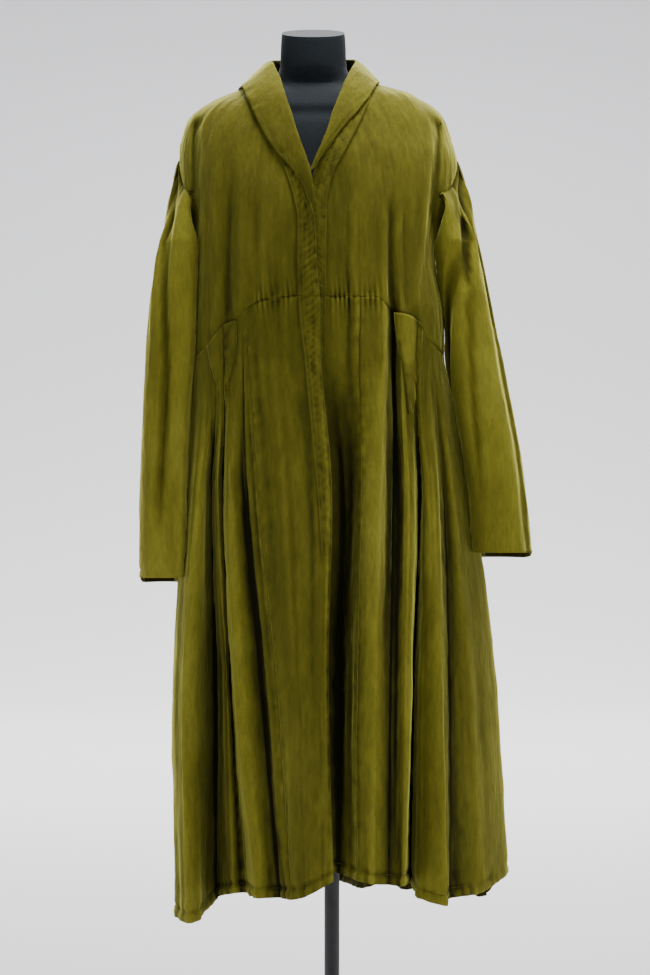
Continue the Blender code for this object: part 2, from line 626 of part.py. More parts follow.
def bodice_front(side):
    """Rows of one front, from its edge to the side seam and the armhole, and up to the shoulder seam."""
    if side == "right":
        q = columns_between(0, RIGHT_SIDE_LINE)
        bearings, heights = bodice_grid(-line_bearing(q), lambda z: -float(front_edge(side, z)), -0.1960, side)
        turns = bearings
    else:
        q = columns_between(LEFT_SIDE_LINE, LINE_COUNT - 1)
        waist = line_bearing(q)[::-1] + 360
        bearings, heights = bodice_grid(waist, lambda z: float(front_edge(side, z)), 0.1480, side)
        turns, heights = -bearings[:, ::-1], heights[:, ::-1]
    points, normal = faced(bodice_surface, turns, heights, (0.04, 0.0003))
    relief = gathers(-turns, heights)
    if side == "left":
        relief = relief + left_drop(points)
    inset_ends(points)
    return ragged(q, points, normal, relief, GATHERED_BODICE_ROWS)


def back_places(z, groove_x):
    """Marks at the waist and places at a height for the back's columns, from its right side to its left."""
    end = float(armhole_bearing(z))
    marks, places = [90.0], [180 - end]
    at = [96.0, 102.0, 106.0, 110.0, 114.0, 126.0]
    for fold_x in groove_x:
        groove = max(abs(float(bearing_of(fold_x, z, 1))), 104.0, 180 - end + 4)
        near = [180 - end + (groove - 180 + end) * k for k in (0.35, 0.7, 1.0)] + [groove + 2.4, groove + 5, 125.0]
        if fold_x < 0:
            marks += at
            places += near
        else:
            marks += [360 - k for k in reversed(at)] + [270.0]
            places += [360 - k for k in reversed(near)] + [180 + end]
    return marks, places


def bodice_back():
    """Rows of the back, from the right side seam and armhole to the left ones."""
    q = columns_between(RIGHT_SIDE_LINE, LEFT_SIDE_LINE)
    waist = -line_bearing(q)
    seam = waist_height(wrapped(-waist)) + SEAM * 0.6
    rows = [np.full_like(seam, z) for z in BODICE_ROWS]
    rows += [seam + share * (BODICE_ROWS[-1] - seam) for share in SEAM_ROWS]
    heights = np.array(rows)
    turns = np.zeros_like(heights)
    last = len(BODICE_ROWS) - 1
    for r, row in enumerate(heights):
        if r > last:
            turns[r] = waist + SEAM_ROWS[r - last - 1] * (turns[last] - waist)
            continue
        marks, places = back_places(row[0], (-0.1960, 0.1480))
        straight = smoothstep(1.16, 1.262, row[0])
        turns[r] = straight * np.interp(waist, marks, places) + (1 - straight) * waist
    points, normal = faced(bodice_surface, turns, heights, (0.04, 0.0003))
    inset_ends(points)
    return ragged(q, points, normal, gathers(wrapped(-turns), heights), GATHERED_BODICE_ROWS)


def skirt_panel(first, last, drop=None):
    """Rows of a skirt panel between two line numbers."""
    q = columns_between(first, last)
    bearing = wrapped(line_bearing(q))
    seam = waist_height(bearing) - SEAM * 0.6
    heights = seam + (hem_height(q) - seam) * np.array(SKIRT_ROWS)[:, None]
    points, normal = faced(skirt, np.broadcast_to(q, heights.shape), heights)
    relief = gathers(np.broadcast_to(bearing, heights.shape), heights)
    if drop is not None:
        relief = relief + drop(points)
    inset_ends(points)
    return ragged(q, points, normal, relief, GATHERED_SKIRT_ROWS)


def along_row(row, q):
    """Points and normals of a row at line numbers that may lie between its columns."""
    at = lambda values: np.stack([np.interp(q, row[0], values[:, k]) for k in range(3)], axis=-1)
    return at(row[1]), at(row[2])


def between_rows(upper, lower, share):
    """A row between two rows with the same columns, also where it meets each cell's diagonal."""
    q = upper[0]
    crossing = q[:-1] + (q[1:] - q[:-1]) * (1 - share)
    numbers = np.concatenate([q, crossing])
    order = np.argsort(numbers, kind="stable")
    found = [numbers[order]]
    for k in (1, 2):
        straight = upper[k] + (lower[k] - upper[k]) * share
        sloped = upper[k][1:] + (lower[k][:-1] - upper[k][1:]) * share
        found.append(np.concatenate([straight, sloped])[order])
    return tuple(found)


def part_of_row(row, x_first, x_last, out):
    """The part of a row between two sideways places, moved out, with the row's own columns inside."""
    q = row[0]
    fine = np.linspace(q[0], q[-1], 2001)
    x = along_row(row, fine)[0][:, 0]
    order = np.argsort(x)
    ends = np.sort(np.interp([x_first, x_last], x[order], fine[order]))
    width = ends[1] - ends[0]
    inside = q[(q > ends[0] + 0.03 * width) & (q < ends[1] - 0.03 * width)]
    kept = np.concatenate([[ends[0]], inside, [ends[1]]])
    points, normal = along_row(row, kept)
    return kept, points + normal * out, normal


def band(side, bodice_rows, skirt_rows):
    """Rows of a top-stitched front band, made from the points of the front's edge, moved out."""
    stitch = BAND_STITCH[side][::-1]
    edge_at = 0 if side == "right" else -1
    rows = []
    for row in bodice_rows + skirt_rows:
        edge = row[1][edge_at]
        if stitch[0, 0] - 0.02 < edge[2] < stitch[-1, 0]:
            x = spline(column(stitch, BAND_COLUMNS, "z"), column(stitch, BAND_COLUMNS, "x"), edge[2])
            near = np.abs(row[1][:, 0] - edge[0]) < 0.075
            rows.append(part_of_row((row[0][near], row[1][near], row[2][near]), edge[0], x, BAND_OUT))
    return rows


def inset(side, panels):
    """Rows of a hip inset, made from the points of the two panels under it, moved out."""
    rows = [tuple(np.concatenate(parts) for parts in zip(*pair)) for pair in zip(*panels)]
    corner = INSETS[side]
    tip_x, tip_z = corner["tip"]
    found = []
    middle = (corner["outer"][0] + corner["inner"][0]) / 2
    top_z = float(waist_height(bearing_of(middle, 1.12)))
    for share in INSET_SHARES:
        z = top_z - 0.0012 + (tip_z - top_z) * share
        edges = [spline((0, 0.3, 1), (*corner[k], tip_x + d), share) for k, d in (("outer", 0), ("inner", 0))]
        spread = 0.0022 * (1 if edges[1] > edges[0] else -1)
        edges = [edges[0] - spread * share, edges[1] + spread * share]
        level = [tuple(part[is_plain(row[0])] for part in row) for row in rows]
        heights = [along_row(row, [float(line_at_x(row, middle))])[0][0, 2] for row in level]
        k = max(i for i in range(len(heights)) if heights[i] >= z or i == 0)
        part = (heights[k] - z) / (heights[k] - heights[k + 1])
        row = between_rows(level[k], level[k + 1], max(part, 0))
        found.append(part_of_row(row, *edges, INSET_OUT[side]))
    return found


def line_at_x(row, x):
    """The line number at a sideways place in a row."""
    order = np.argsort(row[1][:, 0])
    return np.interp(x, row[1][order, 0], row[0][order])


def sleeve_ring(side, count):
    """The armhole seam as a ring: round from the outer point by the front to the underarm and back."""
    sign = -1 if side == "right" else 1
    heights = column(ARMHOLE, ARMHOLE_COLUMNS, "z")[::-1]
    front = body(sign * armhole_bearing(heights), heights)
    rear = body(sign * (180 - armhole_bearing(heights)), heights)
    ring = []
    for branch, shares in ((front, np.linspace(0, 1, count // 2 + 1)), (rear, np.linspace(1, 0, count // 2 + 1))):
        length = np.concatenate([[0], np.cumsum(np.linalg.norm(np.diff(branch, axis=0), axis=1))])
        at = shares[:-1] * length[-1]
        ring.append(np.stack([np.interp(at, length, branch[:, k]) for k in range(3)], axis=-1))
    return np.concatenate(ring)


def sleeve_point(side, turn, z):
    """A point of the sleeve's outer face. Turn 0 is the outer side, 90 the front, 180 the inner side."""
    rows = SLEEVES[side][::-1]
    value = lambda k: spline(column(rows, SLEEVE_COLUMNS, "z"), column(rows, SLEEVE_COLUMNS, k), z)
    sign = -1 if side == "right" else 1
    inner, outer = value("inner"), value("outer")
    middle, half = (inner + outer) / 2, np.abs(outer - inner) / 2
    y_mid, deep = (value("front") + value("back")) / 2, (value("back") - value("front")) / 2
    c, d = np.cos(np.radians(turn)), np.sin(np.radians(turn))
    reach = (np.abs(c / half) ** 2.2 + np.abs(d / deep) ** 2.2) ** (-1 / 2.2)
    down = np.clip((1.235 - z) / (1.235 - rows[0, 0]), 0, 1)
    for row in SLEEVE_FOLDS[side]:
        fold = dict(zip(SLEEVE_FOLD_COLUMNS, row))
        centre = 90 - (fold["bearing_top"] + down * (fold["bearing_cuff"] - fold["bearing_top"]))
        away = np.abs((turn - centre + 180) % 360 - 180) / (fold["width"] / 2)
        deepness = fold["deep_top"] + down * (fold["deep_cuff"] - fold["deep_top"])
        reach = reach - deepness * np.where(away < 1, np.cos(np.pi / 2 * np.minimum(away, 1)) ** 1.3, 0)
    return np.stack([middle + sign * reach * c, y_mid - reach * d, z + 0 * reach], axis=-1)


INSET_SHARES = (0, 0.12, 0.3, 0.5, 0.7, 0.86, 1.0)
SLEEVE_SIDES = 30
CUFF_SLOPE = 0.009
FORM_SIDES = 28
SLEEVE_ROWS = (0.14, 0.30, 0.46, 0.64, 0.82, 1.0)


def sleeve(side):
    """Rows of a sleeve, from the armhole seam to the cuff."""
    turns = np.arange(SLEEVE_SIDES) * 360 / SLEEVE_SIDES
    z_first, z_last = SLEEVES[side][0, 0], SLEEVES[side][-1, 0]
    ring = sleeve_ring(side, SLEEVE_SIDES)
    first = sleeve_point(side, turns, np.full(SLEEVE_SIDES, z_first))
    inner_side = smoothstep(0.1, -0.5, np.cos(np.radians(turns)))
    sign = -1 if side == "right" else 1
    start = ring + np.stack([sign * 0.0032 * inner_side, 0 * turns, -0.0012 - 0.0030 * inner_side], -1)
    grid = [start]
    for share in (0.2, 0.5):
        grid.append(start + (first - start) * np.array([share ** 0.8, share ** 0.8, share]))
    grid.append(first)
    back = smoothstep(-0.2, 0.9, -np.sin(np.radians(turns)))
    for share in SLEEVE_ROWS:
        points = sleeve_point(side, turns, np.full(SLEEVE_SIDES, z_first + (z_last - z_first) * share))
        grid.append(points - np.outer(CUFF_SLOPE * share ** 3 * back, (0, 0, 1)))
    grid = np.array(grid)
    if side == "left":
        grid = grid[:, ::-1]
    along = np.roll(grid, 1, axis=1) - np.roll(grid, -1, axis=1)
    normal = np.cross(along, np.gradient(grid, axis=0))
    normal /= np.maximum(np.linalg.norm(normal, axis=-1, keepdims=True), 1e-12)
    grid, normal = grid[:, ::-1], normal[:, ::-1]
    return [(np.arange(float(SLEEVE_SIDES)), points, n) for points, n in zip(grid, normal)]


def collar_guides():
    """The roll, the outer edge and the neckline of the collar, as finely spaced points."""
    share = np.linspace(0, len(COLLAR) - 1, COLLAR_STEPS)
    guides = {"roll": [], "fall": [], "neck": []}
    for row in COLLAR:
        place = dict(zip(COLLAR_COLUMNS, row / 1000))
        guides["roll"].append([place["roll_x"], place["roll_y"], place["roll_z"]])
        for name, out in (("fall", COLLAR_OUT), ("neck", NECK_OUT)):
            x, z, face = place[name + "_x"], place[name + "_z"], place[name + "_face"]
            point, normal = faced(bodice_surface, -bearing_of(x, z, face), z, (0.04, 0.0003))
            guides[name].append(point + normal * out)
        inward = np.array([*NECK_MIDDLE, 0]) - guides["neck"][-1] * (1, 1, 0)
        guides["neck"][-1] += inward / np.linalg.norm(inward) * place["neck_in"]
    return [np.stack([across(np.array(guide)[:, k], share) for k in range(3)], axis=-1) for guide in guides.values()]


def collar():
    """Rows of the shawl collar: from the neckline up to its roll and over to its outer edge."""
    roll, fall, neck = collar_guides()
    lift = roll - (neck + fall) / 2
    lift /= np.linalg.norm(lift, axis=-1, keepdims=True)
    grid = []
    for share, rise in zip(COLLAR_SHARES, COLLAR_RISES):
        base = neck + (roll - neck) * share if share <= 1 else roll + (fall - roll) * (share - 1)
        grid.append(base + lift * rise)
    grid = np.array(grid)
    normal = np.cross(np.gradient(grid, axis=1), np.gradient(grid, axis=0))
    normal /= np.maximum(np.linalg.norm(normal, axis=-1, keepdims=True), 1e-12)
    return [(np.arange(float(COLLAR_STEPS)), points, n) for points, n in zip(grid, normal)]


def stacked(name, rings, finish):
    """A solid from rings of points, top ring first, each running clockwise as seen from above."""
    count, sides = len(rings), len(rings[0])
    faces = []
    for r in range(count - 1):
        for c in range(sides):
            after = (c + 1) % sides
            faces.append((r * sides + c, r * sides + after, (r + 1) * sides + after, (r + 1) * sides + c))
    faces.append(tuple(reversed(range(sides))))
    faces.append(tuple((count - 1) * sides + c for c in range(sides)))
    return add_mesh(name, np.concatenate(rings), faces, finish)


def form_torso(finish):
    """The dress form with no limbs, from the tilted top of its neck to its foot."""
    bearing = -np.arange(FORM_SIDES) * 2 * np.pi / FORM_SIDES
    rings = []
    for row in FORM:
        part = dict(zip(FORM_COLUMNS, row))
        s, c = np.sin(bearing), np.cos(bearing)
        deep = np.where(c > 0, part["y_mid"] - part["y_front"], part["y_back"] - part["y_mid"])
        reach = (np.abs(s / part["half"]) ** 2.2 + np.abs(c / deep) ** 2.2) ** (-1 / 2.2)
        y = part["y_mid"] - reach * c
        rings.append(np.stack([part["x_mid"] + reach * s, y, part["z"] + y * part["tilt"]], axis=-1))
    return stacked("form_torso", rings, finish)


def turned(name, profile, sides, finish):
    """A solid turned about the Z axis from a profile of radius and height, top first."""
    angle = -np.arange(sides) * 2 * np.pi / sides
    rings = [np.stack([r * np.cos(angle), r * np.sin(angle), z + 0 * angle], axis=-1) for r, z in profile]
    return stacked(name, rings, finish)


def clear_scene():
    for old in list(bpy.data.objects):
        bpy.data.objects.remove(old, do_unlink=True)


def make_coat(finish):
    seams = {"edge_right": 0, **SEAM_LINES, "edge_left": LINE_COUNT - 1}
    front_right, front_left = bodice_front("right"), bodice_front("left")
    panels = {
        "front_right": skirt_panel(seams["edge_right"], seams["princess_right"]),
        "princess_right": skirt_panel(seams["princess_right"], seams["pleat_right"]),
        "side_right": skirt_panel(seams["pleat_right"], seams["back_right"]),
        "back": skirt_panel(seams["back_right"], seams["back_left"]),
        "side_left": skirt_panel(seams["back_left"], seams["pleat_left"]),
        "princess_left": skirt_panel(seams["pleat_left"], seams["princess_left"]),
        "front_left": skirt_panel(seams["princess_left"], seams["edge_left"], left_drop),
    }
    cloth("bodice_front_right", front_right, finish)
    cloth("bodice_front_left", front_left, finish)
    cloth("bodice_back", bodice_back(), finish)
    for name, rows in panels.items():
        cloth(f"skirt_{name}", rows, finish)
    cloth("inset_right", inset("right", (panels["princess_right"], panels["side_right"])), finish)
    cloth("inset_left", inset("left", (panels["side_left"], panels["princess_left"])), finish)
    cloth("band_right", band("right", front_right, panels["front_right"]), finish)
    cloth("band_left", band("left", front_left, panels["front_left"]), finish)
    cloth("sleeve_right", sleeve("right"), finish, closed=True)
    cloth("sleeve_left", sleeve("left"), finish, closed=True)
    cloth("collar", collar(), finish)


def make_form(cover, stand):
    form_torso(cover)
    turned("form_pole", [(POLE_RADIUS, FORM_BOTTOM - SEAM), (POLE_RADIUS, HUB_HEIGHT + SEAM)], 24, stand)
    profile = [(HUB_RADIUS - 0.004, HUB_HEIGHT), (HUB_RADIUS, BASE_HEIGHT), (BASE_RADIUS - 0.004, BASE_HEIGHT)]
    turned("form_base", [*profile, (BASE_RADIUS, BASE_HEIGHT - 0.004), (BASE_RADIUS, 0.0)], 48, stand)


def main():
    clear_scene()
    make_coat(material("velvet", (0.19, 0.17, 0.02), 0.85))
    make_form(material("form cover", (0.012, 0.016, 0.020), 0.9), material("stand", (0.05, 0.05, 0.05), 0.5))


main()
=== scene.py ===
"""Looks of a long velvet coat on a plain dress form: fine walls of cloth, sewing, velvet, stage and light.

Metres, but millimetres in the tables; +Z up, front towards -Y. Right and left are the wearer's, so the right
side lies at -X.
The sizes and surfaces are those of the part's solids, sampled more finely and given relief.
"""

import math

import bpy
import numpy as np
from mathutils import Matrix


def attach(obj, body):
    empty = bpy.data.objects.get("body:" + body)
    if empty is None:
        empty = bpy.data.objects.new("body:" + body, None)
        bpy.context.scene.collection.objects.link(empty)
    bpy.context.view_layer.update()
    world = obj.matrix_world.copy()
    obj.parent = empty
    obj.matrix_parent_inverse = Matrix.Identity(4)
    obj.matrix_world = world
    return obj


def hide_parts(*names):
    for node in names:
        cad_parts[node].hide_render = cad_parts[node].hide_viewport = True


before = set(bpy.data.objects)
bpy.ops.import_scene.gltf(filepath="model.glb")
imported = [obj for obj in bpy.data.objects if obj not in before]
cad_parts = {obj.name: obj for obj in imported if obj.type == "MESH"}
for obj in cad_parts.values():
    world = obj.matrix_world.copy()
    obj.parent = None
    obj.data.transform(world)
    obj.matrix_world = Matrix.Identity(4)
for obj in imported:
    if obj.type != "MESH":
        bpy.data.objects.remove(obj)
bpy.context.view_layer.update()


def table(names, rows, plain=()):
    """Named columns from rows in millimetres. The plain columns hold degrees, shares or signs."""
    columns = zip(names.split(), np.array(rows, float).T)
    return {name: values if name in plain else values / 1000 for name, values in columns}


def each_row(columns):
    """The rows of a table, each with its columns' names."""
    return [dict(zip(columns, row)) for row in zip(*columns.values())]


# How finely the surfaces are sampled
BODICE_ROWS = tuple(np.linspace(1.466, 1.222, 62))
SEAM_ROWS = tuple(np.linspace(1, 0, 38)[1:] ** 1.15)
SKIRT_ROWS = np.linspace(0, 1, 142) ** 1.25
COLUMN_SIZE = {"front": 0.0015, "back": 0.0027}
SLEEVE_SIDES = 120
SLEEVE_ROWS = 152
HEAD_ROWS = 22
COLLAR_STEPS = 300
COLLAR_ROWS = 44
BAND_COLUMNS = 19
INSET_ROWS = 56
INSET_COLUMNS = 24
FORM_SIDES = 96
FORM_ROWS = 150
FORM_BEARINGS = -np.arange(FORM_SIDES) * 2 * np.pi / FORM_SIDES

# Sizes of the part, the gaps between its pieces and the steps for its normals
CLOTH = 0.0020
SEAM = 0.0003
OVERLAP_DROP = 0.0056
GATHER_PITCH = 0.0072
POLE_RADIUS = 0.011
BASE_RADIUS = 0.165
BASE_HEIGHT = 0.012
FORM_BOTTOM = 0.860
SKIRT_TOP = 1.064
HEIGHT_STEP = 0.0003
BEARING_STEP = 0.04
ARM_FOLDS = {"right": -0.1960, "left": 0.1480}
ARM_FOLD_START = (1.16, 1.262)
SEAM_GAP = SEAM * 0.6
HUB_HEIGHT = 0.030
HUB_RADIUS = 0.030
BAND_OUT = CLOTH + 0.0004
INSET_OUT = {"right": CLOTH + 0.0007, "left": CLOTH + 0.0022}
COLLAR_OUT = 0.0062
NECK_OUT = CLOTH + 0.0008

# Sections of the worn body: height, side to side extent, front and back, and where the sides lie
BODY = table("z x_right x_left y_front y_back y_mid", [
    (1050, -200, 163, -132, 128, 0), (1086, -200, 163, -134, 126, 0), (1130, -199, 162, -137, 126, 0),
    (1210, -197, 150, -138, 132, 2), (1262, -202, 157, -136, 134, 4), (1300, -215, 173, -131, 133, 6),
    (1356, -223.3, 184, -116, 126, 10), (1389, -219, 172, -103, 118, 11), (1411, -212, 168, -92, 110, 12),
    (1428, -201, 158, -82, 102, 12), (1440, -181, 146, -73, 95, 12), (1450, -158, 122, -64, 88, 12),
    (1458, -133, 92, -54, 80, 12), (1466, -108, 60, -44, 70, 12),
])
BODY_SIZES = ("x_right", "x_left", "y_mid", "y_front", "y_back")
BODY_ROUNDNESS = 2.35
SLEEVE_ROUNDNESS = 2.2
SIGN = {"right": -1, "left": 1}

# Long folds above the hips: heights, sideways places, width, depth at top, middle and foot, front or back
BODICE_FOLDS = table("z_top z_low x_top x_low width deep_top deep_mid deep_low side", [
    (1400, 1225, -196, -195.5, 20, 34, 26, 0, -1), (1400, 1225, 152, 140, 22, 34, 26, 0, -1),
    (1400, 1225, -196, -195.5, 20, 30, 22, 0, 1), (1400, 1225, 152, 142, 22, 30, 22, 0, 1),
    (1280, 1060, 84, 86, 24, 0, 8, 34, -1), (1270, 1060, -142, -148, 36, 2, 4, 5, -1),
    (1270, 1060, 118, 114, 26, 2, 4, 6, -1),
], plain=("side",))

# Where the two fronts end, by height
FRONT_EDGES = table("z right left", [
    (1060, -8, -31), (1150, -15, -36), (1200, -20.5, -40), (1260, -24, -40), (1285, -32, -38),
    (1330, -50, -24), (1374, -70, -8), (1405, -84, 8), (1434, -97, 24), (1452, -108, 42), (1466, -107, 56),
])

# The high waist seam: sideways place and height, front and back
WAIST_FRONT = table("x z", [
    (-200, 1068), (-176, 1084), (-152, 1112), (-134, 1119), (-122, 1133), (-108, 1141), (-95, 1145),
    (-48, 1150), (63, 1149), (83, 1133), (110, 1124), (127, 1113), (134, 1094), (150, 1081), (163, 1070),
])
WAIST_BACK_MIDDLE = 1.135
WAIST_LEVEL = 1.12
GATHER_LEVEL = 1.14
HEIGHTS = (("hip", 0.890), ("knee", 0.620), ("hem", 0.300))

# The skirt's long ridges and valleys, from the right front edge round the wearer's right side:
# sideways place at the waist, plan place at hip, knee and hem, the hem's height,
# and how late the fold opens under the hip inset. The last row of each table lies at the back.
LINE_COLUMNS = "x_waist x_hip y_hip x_knee y_knee x_hem y_hem hem_z late"
SIDE_LINES = {
    "right": table(LINE_COLUMNS, [
        (-16, -1, -146, -5, -168, 3, -184, 336, 0), (-36, -20, -145, -20, -169, -14, -184, 326, 0),
        (-80, -62, -138, -48, -158, -38, -172, 312, 0), (-120, -106, -116, -81, -130, -58, -152, 305, 0),
        (-130, -124, -90, -100, -107, -73, -130, 305, 0.4),
        (-146, -148, -94, -138, -110, -108, -122, 303, 1), (-153, -156, -34, -146, -36, -124, -50, 300, 1),
        (-159, -163, -60, -153, -48, -144, -44, 298, 1), (-166, -175, -12, -168, -4, -166, 6, 285, 1),
        (-174, -181, -68, -191, -62, -188, -48, 262, 0.8),
        (-184, -196, -70, -214, -68, -210, -66, 259, 0.2), (-200, -215, -2, -229, -2, -228, -2, 262, 0),
        (-186, -204, 50, -220, 56, -222, 62, 268, 0),
    ], plain=("late",)),
    "left": table(LINE_COLUMNS, [
        (-36, -28, -131, -25, -130, -14, -158, 343, 0), (-4, 14, -104, 13, -94, 8, -148, 341, 0),
        (40, 41, -128, 35, -141, 35, -166, 334, 0), (72, 66, -140, 58, -161, 57, -174, 330, 0),
        (83, 84, -90, 80, -140, 78, -166, 328, 0.6), (98, 101, -112, 97, -150, 92, -164, 326, 0.9),
        (114, 118, -106, 110, -141, 100, -155, 326, 1), (119, 124, -62, 117, -44, 112, -16, 310, 1),
        (124, 130, -92, 124, -104, 120, -98, 300, 1), (133, 144, -97, 153, -117, 160, -120, 292, 0.5),
        (142, 156, -68, 165, -90, 168, -100, 300, 0), (152, 171, -66, 193, -78, 213, -78, 304, 0),
        (163, 200, -2, 238, -2, 257, -2, 322, 0), (152, 192, 50, 226, 58, 244, 64, 312, 0),
    ], plain=("late",)),
}
BACK_FOLDS = 8
BACK_DEPTHS = {"hip": 0.158, "knee": 0.196, "hem": 0.228}
BACK_WAVES = {"hip": 0.008, "knee": 0.019, "hem": 0.027}
BACK_HEM_Z = 0.272
BACK_START = 0.08

# Sleeves, from the cuff up: height, inner, outer, front and back faces
SLEEVES = {
    "right": table("z inner outer front back", [
        (752, -226, -277.5, -71, 40), (840, -223, -278, -71, 44), (930, -219, -275.5, -71, 48),
        (1035, -212, -271, -70, 54), (1155, -203, -262.5, -67, 60), (1235, -202, -248, -64, 62),
    ]),
    "left": table("z inner outer front back", [
        (788, 220, 289.5, -74, 50), (850, 218, 283, -74, 50), (930, 209, 272, -74, 52),
        (1035, 188, 253, -74, 56), (1155, 176, 229, -70, 60), (1235, 164, 213, -66, 62),
    ]),
}

# Sleeve folds: bearing round the arm at the top and at the cuff, width, and depth at the two ends
SLEEVE_FOLDS = {
    "right": table("bearing_top bearing_cuff width deep_top deep_cuff", [
        (-28, -34, 34, 10, 4), (20, -10, 30, 8, 5), (150, 160, 36, 8, 5), (-150, -160, 36, 8, 5),
    ], plain=("bearing_top", "bearing_cuff", "width",)),
    "left": table("bearing_top bearing_cuff width deep_top deep_cuff", [
        (12, -130, 28, 16, 2), (40, 30, 34, 6, 5), (150, 160, 36, 8, 5), (-150, -160, 36, 8, 5),
    ], plain=("bearing_top", "bearing_cuff", "width",)),
}

# Hip insets: sideways places of the outer and inner edge at the seam and a third down, and of the tip
INSETS = {
    "right": {"outer": (-0.176, -0.170), "inner": (-0.1345, -0.1345), "tip": (-0.153, 1.004)},
    "left": {"outer": (0.1265, 0.1245), "inner": (0.0905, 0.0960), "tip": (0.108, 0.985)},
}

# Height and sideways place of each band's inner stitch line, from its low end
BAND_STITCH = {
    "right": table("z x", [
        (790, -14.5), (864, -19.4), (947, -27.8), (1059, -39), (1149, -48.3), (1201, -49), (1255, -49),
        (1295, -56), (1335, -69),
    ]),
    "left": table("z x", [
        (1060, -9), (1148, -8.4), (1281, -7), (1303, -4.2), (1329, 4.2), (1357, 19.8), (1388.5, 35.4),
        (1421.7, 49.7), (1441, 56),
    ]),
}

# The collar's guide lines, from its right end round the neck to its left end: the roll's place,
# then the outer edge and the neckline by sideways place, height and front (-1) or back (1),
# and how far the neckline stands inside the neck opening
COLLAR = table("roll_x roll_y roll_z fall_x fall_z fall_face neck_x neck_z neck_face neck_in", [
    (-25, -147, 1281, -33, 1281, -1, -31, 1284, -1, 0), (-29, -145, 1305, -40, 1301, -1, -38, 1300, -1, 0),
    (-34, -141, 1331, -57, 1329, -1, -48, 1330, -1, 0), (-49, -127, 1374, -76, 1350, -1, -67, 1374, -1, 0),
    (-59, -111, 1407, -95, 1378, -1, -83, 1405, -1, 0), (-70, -89, 1441, -110, 1409, -1, -95, 1434, -1, 0),
    (-77, -62, 1466, -121, 1436, -1, -105, 1452, -1, 2),
    (-86, -34, 1489, -128, 1452, -1, -103, 1465, -1, 6), (-93, 6, 1499, -136, 1455, 1, -103, 1466, 1, 8),
    (-76, 44, 1505, -112, 1452, 1, -80, 1466, 1, 8), (-27, 62, 1508, -24, 1446, 1, -24, 1466, 1, 8),
    (18, 44, 1506, 52, 1454, 1, 34, 1466, 1, 8), (36, 8, 1500, 70, 1464, 1, 53, 1466, 1, 8),
    (31, -32, 1484, 64, 1455, -1, 54, 1465, -1, 7), (19, -66, 1457, 52, 1434, -1, 41, 1452, -1, 2),
    (8, -93, 1425, 36, 1412, -1, 23, 1434, -1, 0), (-2, -111, 1395, 16, 1388, -1, 7, 1405, -1, 0),
    (-16, -126, 1359, -3, 1361, -1, -9, 1374, -1, 0), (-26, -131, 1336, -17, 1341, -1, -21, 1340, -1, 0),
    (-29, -133, 1327, -21, 1331, -1, -25, 1327, -1, 0),
], plain=("fall_face", "neck_face",))
NECK_MIDDLE = (-0.024, 0.012)

# The dress form's sections, from its foot up
FORM = table("z x_mid half y_front y_back y_mid tilt", [
    (860, 0, 110, -72, 80, 0, 0), (872, -1, 124, -84, 94, 0, 0), (920, -4, 140, -96, 108, 2, 0),
    (985, -8, 138, -94, 104, 2, 0), (1065, -12, 118, -86, 86, 0, 0), (1150, -16, 130, -104, 92, 0, 0),
    (1225, -19, 146, -124, 106, 2, 0), (1300, -21, 150, -118, 116, 6, 0),
    (1360, -22, 156, -104, 114, 10, 0), (1400, -22, 160, -90, 104, 12, 0),
    (1416, -22, 165, -80, 96, 12, 0), (1425, -21.5, 174, -78.5, 98.5, 12, 0),
    (1437, -18, 158, -70, 92, 12, 0), (1447, -18.5, 135, -61, 85, 12, 0),
    (1454.5, -20.5, 108, -52, 78, 12, 0), (1462.5, -24, 76, -43, 60, 8, 0),
    (1474, -26.5, 56, -46, 54, 3, 0), (1490, -27, 48.5, -49, 49, 0, 0.05),
    (1530, -27, 46.5, -47, 47, 0, 0.22), (1540, -27, 45.5, -46, 46, 0, 0.28),
], plain=("tilt",))


def cubic(start, rise, near, far, t):
    """A curve that rises from start by rise, with the given slopes at its two ends."""
    return start + t * near + t * t * (3 * rise - 2 * near - far) + t ** 3 * (near + far - 2 * rise)


def spline(keys, values, at):
    """Smooth values through rows with rising keys, with no overshoot."""
    keys, values, at = (np.asarray(v, float) for v in (keys, values, at))
    step = np.diff(keys)
    slope = np.diff(values) / step
    same = slope[:-1] * slope[1:] > 0
    inner = np.where(same, 2 * slope[:-1] * slope[1:] / np.where(same, slope[:-1] + slope[1:], 1), 0)
    tangent = np.concatenate([slope[:1], inner, slope[-1:]])
    at = np.clip(at, keys[0], keys[-1])
    i = np.clip(np.searchsorted(keys, at, side="right") - 1, 0, len(step) - 1)
    t = (at - keys[i]) / step[i]
    return cubic(values[i], values[i + 1] - values[i], tangent[i] * step[i], tangent[i + 1] * step[i], t)


def smoothstep(low, high, value):
    t = np.clip((value - low) / (high - low), 0, 1)
    return t * t * (3 - 2 * t)


def unit(vectors):
    return vectors / np.maximum(np.linalg.norm(vectors, axis=-1, keepdims=True), 1e-12)


def oval(side, front, half, deep, roundness):
    """How far out an oval reaches in the direction with these two parts."""
    return (np.abs(side / half) ** roundness + np.abs(front / deep) ** roundness) ** (-1 / roundness)


def dip(away, power):
    """A fold's section: 1 in its middle and 0 from its edge on."""
    return np.where(away < 1, np.cos(np.pi / 2 * np.minimum(away, 1)) ** power, 0)


def wrapped(bearing):
    return (bearing + 180) % 360 - 180


def arc(points, axis=0):
    """Length along a grid's rows or columns from their first point."""
    step = np.linalg.norm(np.diff(points, axis=axis), axis=-1)
    zero = np.zeros_like(np.take(step, [0], axis=axis))
    return np.concatenate([zero, np.cumsum(step, axis=axis)], axis=axis)


def picked(at, keys, rows):
    """Rows of values at places between rising keys."""
    return np.stack([np.interp(at, keys, rows[:, k]) for k in range(rows.shape[1])], axis=-1)


def body_value(name, z):
    """A size of the worn body at a height."""
    return spline(BODY["z"], BODY[name], z)


